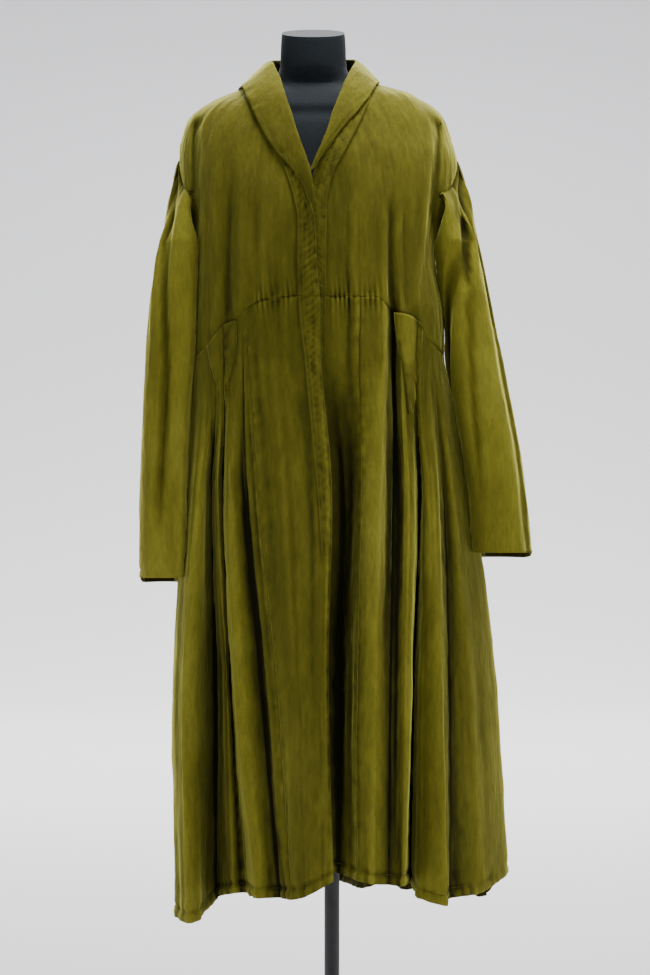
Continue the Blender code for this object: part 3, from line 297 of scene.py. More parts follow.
def body_section(z):
    """The body's middle, half width, its sides' depth and its reach to the front and back at a height."""
    low, high, y_mid, front, back = (body_value(name, z) for name in BODY_SIZES)
    return (high + low) / 2, (high - low) / 2, y_mid, y_mid - front, back - y_mid


def body_smooth(bearing, z):
    """The worn body with no folds, at a bearing in degrees from the front and a height."""
    middle, half, y_mid, front, back = body_section(z)
    s, c = np.sin(np.radians(bearing)), np.cos(np.radians(bearing))
    reach = oval(s, c, half, np.where(c > 0, front, back), BODY_ROUNDNESS)
    return middle + reach * s, y_mid - reach * c


def body(bearing, z):
    """A point of the worn body with its long folds."""
    bearing, z = np.broadcast_arrays(np.asarray(bearing, float), np.asarray(z, float))
    x, y = body_smooth(bearing, z)
    facing = np.where(np.cos(np.radians(bearing)) > 0, -1, 1)
    push = np.zeros_like(x)
    for fold in each_row(BODICE_FOLDS):
        t = np.clip((fold["z_top"] - z) / (fold["z_top"] - fold["z_low"]), 0, 1)
        away = np.abs(x - fold["x_top"] - t * (fold["x_low"] - fold["x_top"])) / (fold["width"] / 2)
        deep = spline((0, 0.5, 1), [fold[k] for k in ("deep_top", "deep_mid", "deep_low")], t)
        deep = deep * (1 - smoothstep(fold["z_top"], fold["z_top"] + 0.016, z)) * (facing == fold["side"])
        push -= fold["side"] * deep * dip(away, 1.5)
    limit = np.abs(y - body_value("y_mid", z)) * 0.85
    return np.stack([x, y + np.clip(push, -limit, limit), z], axis=-1)


def bearing_of(x, z, side=-1):
    """The bearing at which the body has this sideways place, on its front or its back."""
    middle, half, _, front, back = body_section(z)
    share = np.clip(np.abs(x - middle) / half, 0, 1)
    y = (front if side < 0 else back) * (1 - share ** BODY_ROUNDNESS) ** (1 / BODY_ROUNDNESS)
    turn = np.degrees(np.arctan2(x - middle, y))
    return turn if side < 0 else np.sign(turn) * 180 - turn


def waist_height(bearing):
    """Height of the high waist seam at a bearing."""
    x, _ = body_smooth(bearing, WAIST_LEVEL)
    side_z = WAIST_FRONT["z"][0]
    back = side_z + (WAIST_BACK_MIDDLE - side_z) * smoothstep(90, 140, np.abs(bearing))
    return np.where(np.abs(bearing) < 90, spline(WAIST_FRONT["x"], WAIST_FRONT["z"], x), back)


def side_lines(side):
    """Bearing at the waist, plan places, hem height and lateness of each line of one side."""
    rows = each_row(SIDE_LINES[side])
    found = []
    for line in rows:
        places = {key: np.array([line["x_" + key], line["y_" + key]]) for key, _ in HEIGHTS}
        bearing = float(bearing_of(line["x_waist"], WAIST_LEVEL, 1 if line is rows[-1] else -1))
        found.append((bearing, places, line["hem_z"], line["late"]))
    return found


def back_line(first, last, i):
    """One line of the back skirt, whose ridges and valleys alternate."""
    share = i / (2 * BACK_FOLDS + 2)
    turn = math.pi * (BACK_START + (1 - 2 * BACK_START) * share)
    places = {}
    for key, _ in HEIGHTS:
        a, b = first[1][key], last[1][key]
        middle, half = (a[0] + b[0]) / 2, (b[0] - a[0]) / 2 / math.cos(BACK_START * math.pi)
        y_from = (a[1] + b[1]) / 2 - 0.05
        deep = BACK_DEPTHS[key] - y_from + BACK_WAVES[key] * (1 if i % 2 else -1)
        places[key] = np.array([middle - half * math.cos(turn), y_from + deep * math.sin(turn) ** 0.8])
    bearing = first[0] + (last[0] - 360 - first[0]) * share
    return bearing, places, BACK_HEM_Z + 0.004 * math.sin(3.1 * i), 0.0


def plan_lines():
    """All the skirt's lines in order from the right front edge round the back to the left one."""
    right, left = side_lines("right"), side_lines("left")
    back = [back_line(right[-1], left[-1], i) for i in range(1, 2 * BACK_FOLDS + 2)]
    return right + back + [(line[0] - 360, *line[1:]) for line in reversed(left)]


LINE_BEARINGS, LINE_PLACES, LINE_HEMS, LINE_LATE = zip(*plan_lines())
LINE_COUNT = len(LINE_HEMS)
LINE_TENSION = 0.36


def across(values, q):
    """A smooth value between numbered lines, a little softened at the valleys."""
    values = np.asarray(values, float)
    i = np.clip(np.floor(q).astype(int), 0, len(values) - 2)
    before, here, there, after = (values[np.clip(i + k, 0, len(values) - 1)] for k in (-1, 0, 1, 2))
    return cubic(here, there - here, LINE_TENSION * (there - before), LINE_TENSION * (after - here), q - i)


def across_rows(rows, q):
    rows = np.asarray(rows)
    return np.stack([across(rows[:, k], q) for k in range(rows.shape[1])], axis=-1)


def line_bearing(q):
    return spline(range(LINE_COUNT), LINE_BEARINGS, q)


def skirt(q, z):
    """A point of the skirt at a line number, which may lie between two lines, and a height."""
    q, z = np.broadcast_arrays(np.asarray(q, float), np.asarray(z, float))
    bearing = wrapped(line_bearing(q))
    high = body(bearing, np.maximum(z, SKIRT_TOP))
    keys, nodes = [SKIRT_TOP], [body(bearing, np.full_like(z, SKIRT_TOP))[..., :2]]
    for name, height in HEIGHTS:
        keys.append(height)
        nodes.append(across_rows([places[name] for places in LINE_PLACES], q))
    steps = np.diff(keys)
    rises = [low - up for up, low in zip(nodes, nodes[1:])]
    slopes = [rise / step for rise, step in zip(rises, steps)]
    tangents = [slopes[0] * 0.9, (slopes[0] + slopes[1]) / 2, (slopes[1] + slopes[2]) / 2, slopes[2]]
    below = np.zeros(q.shape + (2,))
    for k, step in enumerate(steps):
        t = (z - keys[k]) / step
        use = (t >= 0) & ((t < 1) | (k == 2))
        if k == 0:
            t = t + spline(range(LINE_COUNT), LINE_LATE, q) * (np.clip(t, 0, 1) ** 2.8 - t)
        here = cubic(nodes[k], rises[k], tangents[k] * step, tangents[k + 1] * step, t[..., None])
        below = np.where(use[..., None], here, below)
    below = np.concatenate([below, z[..., None]], axis=-1)
    return np.where((z >= SKIRT_TOP)[..., None], high, below)


def faced(surface, turn, height, step=0.004):
    """Points of a surface and their outward unit normals. Turns grow clockwise as seen from above."""
    turn, height = np.broadcast_arrays(np.asarray(turn, float), np.asarray(height, float))
    along = surface(turn + step, height) - surface(turn - step, height)
    down = surface(turn, height - HEIGHT_STEP) - surface(turn, height + HEIGHT_STEP)
    return surface(turn, height), unit(np.cross(along, down))


def bodice_surface(turn, z):
    return body(-turn, z)


# Bearing at which each front and the back end at the armhole, by height
ARMHOLE = table("z bearing", [
    (1262, 90), (1282, 84), (1300, 69), (1307, 76), (1317, 83), (1335, 88), (1356, 90),
], plain=("bearing",))


def armhole_bearing(z):
    return np.interp(z, ARMHOLE["z"], ARMHOLE["bearing"])


RIGHT_SIDE_LINE = 11
LEFT_SIDE_LINE = LINE_COUNT - 13
# The skirt's panels in order, with the fineness that each needs, and the lines of the seams between them
PANELS = {"front_right": "front", "princess_right": "front", "side_right": "back", "back": "back",
          "side_left": "back", "princess_left": "front", "front_left": "front"}
PANEL_LINES = (0, 3, 6, 12, LINE_COUNT - 14, LINE_COUNT - 8, LINE_COUNT - 3, LINE_COUNT - 1)


def front_edge(side, z):
    return bearing_of(spline(FRONT_EDGES["z"], FRONT_EDGES[side], z), z)


def left_drop(points):
    """How far the left front lies under the right one, near the middle."""
    x, z = points[..., 0], points[..., 2]
    reach = smoothstep(0.050, 0.005, x) * smoothstep(0.86, 1.02, z) * smoothstep(1.36, 1.30, z)
    return -OVERLAP_DROP * reach


def bodice_rows(waist, seam, place_row):
    """Bearings and heights of a bodice piece: level rows, then rows that draw in to the waist seam."""
    heights = [np.full_like(seam, z) for z in BODICE_ROWS]
    heights += [seam + share * (BODICE_ROWS[-1] - seam) for share in SEAM_ROWS]
    bearings = [place_row(z) for z in BODICE_ROWS]
    bearings += [waist + share * (bearings[-1] - waist) for share in SEAM_ROWS]
    return np.array(bearings), np.array(heights)


def front_row(z, waist, side):
    """Bearings of a front's columns at a height, from its edge to the side seam or armhole."""
    edge, end = SIGN[side] * float(front_edge(side, z)), float(armhole_bearing(z))
    groove = min(abs(float(bearing_of(ARM_FOLDS[side], z))), 76, end - 4)
    places = [edge, min(groove - 5, 64), groove - 2.4, groove]
    places += [groove + (end - groove) * share for share in (0.3, 0.55, 0.8, 1)]
    free = np.interp(waist, [waist[0], 62, 66, 71, 76, 80, 85, 90], places)
    plain = waist + (edge - waist[0]) * np.clip((40 - waist) / (40 - waist[0]), 0, 1)
    return plain + smoothstep(*ARM_FOLD_START, z) * (free - plain)


def back_row(z, waist):
    """Turns of the back's columns at a height, from its right side seam or armhole to its left one."""
    end = 180 - float(armhole_bearing(z))
    marks, places = [90, 96, 102, 106, 110, 114, 126], []
    for side in ("right", "left"):
        groove = max(abs(float(bearing_of(ARM_FOLDS[side], z, 1))), 104, end + 4)
        places.append([end, *(end + (groove - end) * share for share in (0.35, 0.7, 1))])
        places[-1] += [groove + 2.4, groove + 5, 125]
    marks, places = (a + [360 - k for k in reversed(b)] for a, b in ((marks, marks), places))
    return waist + smoothstep(*ARM_FOLD_START, z) * (np.interp(waist, marks, places) - waist)


def sleeve_ring(side):
    """The armhole seam as a ring: round from the outer point by the front to the underarm and back."""
    heights = ARMHOLE["z"][::-1]
    bearing = armhole_bearing(heights)
    ring = []
    for branch, way in ((bearing, 1), (180 - bearing, -1)):
        path = body(SIGN[side] * branch, heights)
        length = arc(path)
        shares = np.linspace(0, 1, SLEEVE_SIDES // 2 + 1)[::way]
        ring.append(picked(shares[:-1] * length[-1], length, path))
    return np.concatenate(ring)


def sleeve_point(side, turn, z):
    """A point of the sleeve's outer face. Turn 0 is the outer side, 90 the front, 180 the inner side."""
    rows = SLEEVES[side]
    inner, outer, front, back = (spline(rows["z"], rows[k], z) for k in ("inner", "outer", "front", "back"))
    c, d = np.cos(np.radians(turn)), np.sin(np.radians(turn))
    reach = oval(c, d, np.abs(outer - inner) / 2, (back - front) / 2, SLEEVE_ROUNDNESS)
    down = np.clip((rows["z"][-1] - z) / (rows["z"][-1] - rows["z"][0]), 0, 1)
    for fold in each_row(SLEEVE_FOLDS[side]):
        centre = 90 - (fold["bearing_top"] + down * (fold["bearing_cuff"] - fold["bearing_top"]))
        deep = fold["deep_top"] + down * (fold["deep_cuff"] - fold["deep_top"])
        reach = reach - deep * dip(np.abs(wrapped(turn - centre)) / (fold["width"] / 2), 1.3)
    x, y = (inner + outer) / 2 + SIGN[side] * reach * c, (front + back) / 2 - reach * d
    return np.stack([x, y, z + 0 * reach], axis=-1)


CUFF_SLOPE = 0.009


def collar_guides():
    """The roll, the outer edge and the neckline of the collar, as finely spaced points."""
    guides = {"roll": [], "fall": [], "neck": []}
    for place in each_row(COLLAR):
        guides["roll"].append([place["roll_x"], place["roll_y"], place["roll_z"]])
        for name, out in (("fall", COLLAR_OUT), ("neck", NECK_OUT)):
            x, z, face = (place[f"{name}_{key}"] for key in ("x", "z", "face"))
            point, normal = faced(bodice_surface, -bearing_of(x, z, face), z, BEARING_STEP)
            guides[name].append(point + normal * out)
        inward = np.array([*NECK_MIDDLE, 0]) - guides["neck"][-1] * (1, 1, 0)
        guides["neck"][-1] += unit(inward) * place["neck_in"]
    share = np.linspace(0, len(guides["roll"]) - 1, COLLAR_STEPS)
    return [across_rows(guide, share) for guide in guides.values()]


# Relief of the sewing and of the velvet's own creases
GATHER_PITCH_BACK = 0.0160
GATHER_FINE = 0.0024
GATHER_LONG = 0.0030
# Wide ripples of the skirt: height, width in lines, length, seed, and how far below the seam they begin
# and are full
SKIRT_RIPPLES = ((0.0020, 0.60, 0.50, 18, 0.02, 0.20), (0.0014, 0.22, 0.28, 19, 0.01, 0.10))
LINE_SPACING = 0.021
# Small creases: height, width, length, seed
CREASES = ((0.0007, 0.020, 0.075, 17), (0.0004, 0.006, 0.030, 21))
HEM_STITCH_DEPTH = 0.0020
HEM_PUCKER = 0.0022
HEM_ROLL, HEM_ROLL_AT, HEM_ROLL_WIDTH = 0.0014, 0.007, 0.0045
BAND_CREASE = 0.0011
BAND_SLANT = 0.0005
GROOVE_DEPTH, GROOVE_RIDGE = 0.0060, 0.0035
HEAD_TUCK = (0.0055, 0.0024)
RIDGE_SHARE = 0.75
SEAM_GROOVE = 0.0010
SEAM_GROOVE_WIDTH = 0.0016
PUCKER = 0.0012
HEM_STITCH = 0.0145
CUFF_STITCH = 0.0100
COLLAR_STITCH = 0.0055
INSET_STITCH = 0.0035
BAND_STITCHES = (0.0030, 0.0030, 0.0075)
STITCH_LENGTH = 0.0026
STITCH_PITCH = 0.0038
STITCH_WIDTH = 0.0005
# Soft ridges of the bodice front: top place, low place, width and height
BODICE_RIDGES = table("x_top z_top x_low z_low width height", [
    (-127.5, 1380, -127.5, 1150, 26, 3), (-165, 1390, -164, 1140, 22, 3.2),
    (-86, 1330, -92, 1160, 30, 2.2), (-145, 1330, -148, 1130, 14, -3), (-108, 1300, -104, 1150, 16, -2),
    (74, 1300, 74, 1150, 16, 2.6), (92.5, 1320, 88, 1145, 14, 3), (110, 1330, 120, 1130, 18, 3.4),
    (83, 1300, 81, 1148, 10, -2.4), (102, 1300, 104, 1140, 10, -2.8), (146, 1415, 130, 1270, 16, 3.4),
    (38, 1290, 46, 1160, 26, 1.6),
])
# Folds that set the velvet's painted shade in hollows and painted highlight on ridges: reach along the rows
# (down the columns if negative), the depth at which they count in full, and their share
FOLD_SHADE_SIZES = ((0.006, 0.0008, 0.16), (0.022, 0.0030, 0.38), (0.060, 0.0100, 0.80), (-0.006, 0.0008, 0.14))
# Painted shade on the inner face of every cloth wall, given as a fold value from -1 (ridge) to 1 (hollow)
LINING_PAINTED_SHADE = 0.75
COLLAR_THICKNESS = 0.0011
# How high and how far aside the collar stands at shares of its way from neckline (0) to roll (1) and edge (2)
COLLAR_RISE = (0, 0.5, 0.85, 1, 1.14, 1.32, 1.65, 2), (0, 5, 20, 34, 35, 31, 16, 0), 1.1e-4
COLLAR_ASIDE = (0, 0.5, 0.85, 1, 1.12, 1.3, 1.7, 2), (0, -4, -12, 0, 17, 22, 14, 0), 1e-4
# The long front fold of each sleeve, from its low end: sideways place and height
SLEEVE_GROOVES = {
    "right": table("x z", [
        (-250, 800), (-243, 915), (-238, 1037), (-241, 1153), (-227, 1327),
    ]),
    "left": table("x z", [
        (212, 860), (203, 980), (197, 1100), (192, 1220), (187, 1350),
    ]),
}
# The body's side, sampled for the sleeves that rest on it
SIDE_STEP = 0.005
SIDE_HEIGHTS = np.arange(0.74, 1.31, SIDE_STEP)
SIDE_DEPTHS = np.arange(-0.11, 0.111, SIDE_STEP)
SLEEVE_CLEARANCE = 0.0026


def noise(x, y, seed):
    """Smooth noise from -1 to 1 over a square lattice."""
    x, y = np.broadcast_arrays(np.asarray(x, float), np.asarray(y, float))
    i, j = np.floor(x), np.floor(y)
    u, v = x - i, y - j
    u, v = u * u * (3 - 2 * u), v * v * (3 - 2 * v)
    wave = lambda a, b: np.sin((i + a) * 127.1 + (j + b) * 311.7 + seed * 74.7)
    corner = lambda a, b: np.modf(np.abs(wave(a, b)) * 43758.5453)[0]
    low = corner(0, 0) + (corner(1, 0) - corner(0, 0)) * u
    high = corner(0, 1) + (corner(1, 1) - corner(0, 1)) * u
    return 2 * (low + (high - low) * v) - 1


def rough(x, y, seed):
    """Noise in three sizes, each half as wide and half as high as the last."""
    return sum(noise(x * 2 ** k, y * 2 ** k, seed + 11 * k) / 2 ** k for k in range(3))


def gathers(bearing, z):
    """Gathers that fade away from the waist seam: fine ones at the seam and some long ones."""
    x, _ = body_smooth(bearing, GATHER_LEVEL)
    turned_back = np.abs(bearing) > 100
    back = smoothstep(-0.112, -0.100, x) * smoothstep(0.088, 0.076, x) * turned_back
    left = smoothstep(-0.006, 0.002, x) * smoothstep(0.080, 0.068, x)
    right = smoothstep(-0.112, -0.104, x) * smoothstep(-0.046, -0.054, x)
    away = np.abs(z - waist_height(bearing))
    pitch = np.where(turned_back, GATHER_PITCH_BACK, GATHER_PITCH)
    wave = np.cos(2 * np.pi * x / pitch + 1.6 * noise(x / 0.03, z / 0.05, 3))
    fine = GATHER_FINE * wave * (0.75 + 0.5 * noise(x / 0.012, 0, 5)) * np.exp(-away / 0.014)
    long = GATHER_LONG * noise(x / 0.0085, z / 0.20, 7) * np.exp(-away / 0.090) * smoothstep(0, 0.006, away)
    return ((left + right) * (np.abs(bearing) < 80) + back) * (fine + long)


def seam_relief(distance, along, seed):
    """A rounded groove at a seam, with small puckers beside it."""
    groove = -SEAM_GROOVE * np.exp(-(distance / SEAM_GROOVE_WIDTH) ** 2)
    near = np.exp(-distance / 0.011) * smoothstep(0, 0.0025, distance)
    return groove + PUCKER * near * noise(along / 0.0085, distance / 0.02, seed)


def stitch_relief(distance, along, seed, depth=0.0008):
    """A sunken row of stitches with puckers on both sides of it."""
    puckers = PUCKER * np.exp(-np.abs(distance) / 0.008) * noise(along / 0.0070, distance / 0.012, seed)
    return puckers - depth * np.exp(-(distance / 0.0013) ** 2)


def side_seams(points, seed):
    """Seam grooves down a grid's first and last columns."""
    s, down = arc(points, 1), arc(points)
    return seam_relief(s, down, seed) + seam_relief(s[:, -1:] - s, down, seed + 1)


def crush(s, z):
    """The shallow, uneven creases of worn velvet, longer than wide."""
    return sum(high * rough(s / wide, z / long, seed) for high, wide, long, seed in CREASES)


def ridges(points):
    """The bodice's soft lengthwise ridges."""
    x, y, z = np.moveaxis(points, -1, 0)
    relief = np.zeros_like(x)
    for ridge in each_row(BODICE_RIDGES):
        t = (ridge["z_top"] - z) / (ridge["z_top"] - ridge["z_low"])
        away = (x - ridge["x_top"] - t * (ridge["x_low"] - ridge["x_top"])) / (ridge["width"] / 2)
        relief += ridge["height"] * np.exp(-away ** 2 * 1.6) * smoothstep(0, 0.35, t)
    return relief * (y < 0)


def grid_normals(points):
    return unit(np.cross(np.gradient(points, axis=1), np.gradient(points, axis=0)))


def moved(points, normal, relief):
    return points + normal * relief[..., None]


def bodice_columns(first, last, size):
    """Line numbers of the bodice's columns, spread evenly round the waist."""
    fine = np.linspace(first, last, 4001)
    length = arc(np.stack(body_smooth(line_bearing(fine), GATHER_LEVEL), axis=-1))
    return np.interp(np.linspace(0, length[-1], int(length[-1] / size) + 1), length, fine)


def eased(points, normal):
    """Points and normals with the hollows beside the arm made softer; the edges stay where they are."""
    smooth = blurred(blurred(points, 0.050).swapaxes(0, 1), 0.040).swapaxes(0, 1)
    share = 0.75 * smoothstep(0.105, 0.140, np.abs(points[..., 0])) * smoothstep(1.25, 1.30, points[..., 2])
    points = points + (smooth - points) * share[..., None]
    fresh = grid_normals(points)
    fresh *= np.sign(np.sum(fresh * normal, axis=-1, keepdims=True))
    return points, unit(normal + (fresh - normal) * np.minimum(share * 1.33, 1)[..., None])


def finish_bodice(turns, heights, drop, seed):
    """Points and normals of a bodice piece with all its relief."""
    points, normal = eased(*faced(bodice_surface, turns, heights, BEARING_STEP))
    bearing = wrapped(-turns)
    above = heights - waist_height(bearing)
    s = bearing * 0.0030
    relief = gathers(bearing, heights) + crush(s, heights) + side_seams(points, seed)
    relief += seam_relief(np.abs(above), s, seed + 5) * smoothstep(1.2, 1.17, heights)
    relief += RIDGE_SHARE * ridges(points) * smoothstep(0, 0.02, above)
    if drop:
        relief += left_drop(points)
    return moved(points, normal, relief), normal


def bodice_front(side):
    """Points and normals of one front, from its edge to the side seam and the armhole."""
    right = side == "right"
    ends = (0, RIGHT_SIDE_LINE) if right else (LEFT_SIDE_LINE, LINE_COUNT - 1)
    q = bodice_columns(*ends, COLUMN_SIZE["front"])
    waist = -line_bearing(q) if right else line_bearing(q)[::-1] + 360
    seam = waist_height(SIGN[side] * waist) + SEAM_GAP
    turns, heights = bodice_rows(waist, seam, lambda z: front_row(z, waist, side))
    if not right:
        turns, heights = -turns[:, ::-1], heights[:, ::-1]
    return q, *finish_bodice(turns, heights, not right, 2 if right else 8)


def bodice_back():
    """Points and normals of the back, from the right side seam and armhole to the left ones."""
    q = bodice_columns(RIGHT_SIDE_LINE, LEFT_SIDE_LINE, COLUMN_SIZE["back"])
    waist = -line_bearing(q)
    seam = waist_height(wrapped(-waist)) + SEAM_GAP
    return q, *finish_bodice(*bodice_rows(waist, seam, lambda z: back_row(z, waist)), False, 14)


def skirt_panel(first, last, seed, size, drop):
    """Points and normals of a skirt panel between two line numbers."""
    fine = np.linspace(first, last, 1201)
    length = arc(skirt(fine, 0.62 + 0 * fine))
    count = int(length[-1] / (size * 1.25)) + 1
    evenly = np.interp(np.linspace(0, length[-1], count), length, fine)
    q = 0.55 * evenly + 0.45 * np.linspace(first, last, count)
    bearing, hem = wrapped(line_bearing(q)), across(LINE_HEMS, q)
    seam = waist_height(bearing) - SEAM_GAP
    heights = seam + (hem - seam) * SKIRT_ROWS[:, None]
    points, normal = faced(skirt, q, heights)
    below, above_hem, s = seam - heights, heights - hem, arc(points, 1)
    relief = gathers(bearing, heights) + side_seams(points, seed) + seam_relief(below, s, seed + 5)
    relief += crush(q * LINE_SPACING, heights) * smoothstep(0, 0.03, below)
    for high, wide, long, ripple_seed, begin, full in SKIRT_RIPPLES:
        relief += high * noise(q / wide, heights / long, ripple_seed) * smoothstep(begin, full, below)
    slant = (q * LINE_SPACING + 0.5 * heights) / 0.060, (heights - q * 0.010) / 0.110
    relief += 0.0007 * rough(*slant, 20) * smoothstep(0.1, 0.4, below)
    relief += stitch_relief(above_hem - HEM_STITCH, s, seed + 6, HEM_STITCH_DEPTH)
    relief += HEM_PUCKER * noise(s / 0.0065, above_hem / 0.03, seed + 7) * np.exp(-above_hem / 0.016)
    relief += HEM_ROLL * np.exp(-((above_hem - HEM_ROLL_AT) / HEM_ROLL_WIDTH) ** 2)
    if drop:
        relief += left_drop(points)
    return q, moved(points, normal, relief), normal


def strip(q, points, normals, ends, count):
    """Evenly spaced points and normals of a row of points between two sideways places."""
    order = np.argsort(points[:, 0])
    at = np.linspace(*np.sort(np.interp(ends, points[order, 0], q[order])), count)
    return picked(at, q, points), picked(at, q, normals)


def band_relief(share, z, width, seed):
    """Three rows of stitches, a lengthwise crease and slanting puckers."""
    across_band = share * width
    lines = zip((across_band, width - across_band, width - across_band), BAND_STITCHES)
    relief = sum(stitch_relief(away - line, z, seed + k) for k, (away, line) in enumerate(lines))
    relief -= BAND_CREASE * np.exp(-((share - 0.45) * width / 0.0016) ** 2) * (width > 0.016)
    slant = np.sin(2 * np.pi * (z + 0.7 * across_band) / 0.0098 + 2.4 * noise(z / 0.02, share * 2, seed))
    return relief * 0.6 + BAND_SLANT * slant * np.sin(np.pi * share)


def band(side, bodice_piece, skirt_piece):
    """Points and normals of a top-stitched front band, made from the front's points, moved out."""
    right, stitch = side == "right", BAND_STITCH[side]
    rows = []
    for q, points, normal in (bodice_piece, skirt_piece):
        for p, n in zip(points, normal):
            edge_x, _, edge_z = p[0 if right else -1]
            if stitch["z"][0] < edge_z < stitch["z"][-1]:
                near = np.abs(p[:, 0] - edge_x) < 0.075
                ends = [edge_x, spline(stitch["z"], stitch["x"], edge_z)]
                rows.append(strip(q[near], p[near], n[near], ends, BAND_COLUMNS))
    points, normal = (np.array(part) for part in zip(*rows))
    share = np.linspace(0, 1, BAND_COLUMNS)[::1 if right else -1]
    relief = band_relief(share, points[..., 2], arc(points, 1)[:, -1:], 21 if right else 31)
    return moved(points, normal, BAND_OUT + relief + 0.0006), normal


def inset(side, panels):
    """Points and normals of a hip inset, made from the points of the two panels under it, moved out."""
    q = np.concatenate([panel[0] for panel in panels])
    grid, normals = (np.concatenate([panel[k] for panel in panels], axis=1) for k in (1, 2))
    corner = INSETS[side]
    tip_x, tip_z = corner["tip"]
    middle = (corner["outer"][0] + corner["inner"][0]) / 2
    top_z = float(waist_height(bearing_of(middle, WAIST_LEVEL)))
    order = np.argsort(grid[0][:, 0])
    heights = np.array([np.interp(middle, row[order, 0], row[order, 2]) for row in grid])
    rows = []
    for share in np.linspace(0, 1, INSET_ROWS):
        z = top_z - 0.0012 + (tip_z - top_z) * share
        outer, inner = (float(spline((0, 0.3, 1), (*corner[k], tip_x), share)) for k in ("outer", "inner"))
        spread = 0.0022 * share * np.sign(inner - outer)
        k = int(np.clip(np.sum(heights >= z) - 1, 0, len(heights) - 2))
        part = float(np.clip((heights[k] - z) / (heights[k] - heights[k + 1]), 0, 1))
        p, n = (a[k] + (a[k + 1] - a[k]) * part for a in (grid, normals))
        near = (np.abs(p[:, 0] - middle) < 0.045) & (p[:, 1] < 0)
        rows.append(strip(q[near], p[near], n[near], [outer - spread, inner + spread], INSET_COLUMNS))
    points, normal = (np.array(part) for part in zip(*rows))
    s = arc(points, 1)
    edge = np.minimum(s, s[:, -1:] - s)
    relief = 0.0008 * smoothstep(0, 0.004, edge)
    relief += stitch_relief(edge - INSET_STITCH, arc(points), 41) * smoothstep(0, 0.002, edge)
    return moved(points, normal, INSET_OUT[side] + 0.0004 + relief * 0.8), normal


def side_cell(points):
    """Row and column in the side table of each point, not rounded."""
    return (points[..., 2] - SIDE_HEIGHTS[0]) / SIDE_STEP, (points[..., 1] - SIDE_DEPTHS[0]) / SIDE_STEP


def body_side(side, pieces):
    """How far out the body reaches at each height and depth on one side, as a table."""
    points = np.concatenate([piece[1].reshape(-1, 3) for piece in pieces]) * (SIGN[side], 1, 1)
    points = points[(points[:, 0] > 0.09) & (np.abs(points[:, 1]) < 0.11)]
    found = np.zeros((len(SIDE_HEIGHTS), len(SIDE_DEPTHS)))
    cell = (np.clip(np.round(at), 0, size - 1) for at, size in zip(side_cell(points), found.shape))
    np.maximum.at(found, tuple(at.astype(int) for at in cell), points[:, 0])
    for line in found:
        known = line > 0
        if known.any():
            line[:] = np.interp(SIDE_DEPTHS, SIDE_DEPTHS[known], line[known])
    return found


def against_body(grid, side, pieces):
    """A sleeve's points with its inner side resting against the body below the armhole."""
    reached = body_side(side, pieces)
    out = grid[..., 0] * SIGN[side]
    row, col = (np.clip(at, 0, size - 1.001) for at, size in zip(side_cell(grid), reached.shape))
    r, c = row.astype(int), col.astype(int)
    u, v = row - r, col - c
    upper, lower = (reached[r + k, c] * (1 - v) + reached[r + k, c + 1] * v for k in (0, 1))
    low, high = out.min(axis=1, keepdims=True), out.max(axis=1, keepdims=True)
    share = smoothstep(0.20, 0.78, (high - out) / (high - low)) * smoothstep(1.300, 1.225, grid[..., 2])
    shift = np.clip(upper * (1 - u) + lower * u + SLEEVE_CLEARANCE - out, -0.022, 0) * share
    return grid + shift[..., None] * (SIGN[side], 0, 0)


def sleeve_groove(side, grid):
    """The long fold down a sleeve's front, with a ridge on its outer side."""
    at_z, at_x = SLEEVE_GROOVES[side]["z"], SLEEVE_GROOVES[side]["x"]
    x = (grid[..., 0] - spline(at_z, at_x, grid[..., 2])) * SIGN[side]
    low = smoothstep(at_z[0] - 0.02, at_z[0] + 0.10, grid[..., 2])
    ridge = GROOVE_RIDGE * np.exp(-((x - 0.010) / 0.006) ** 2)
    return low * (ridge - GROOVE_DEPTH * np.exp(-(x / 0.0050) ** 2))


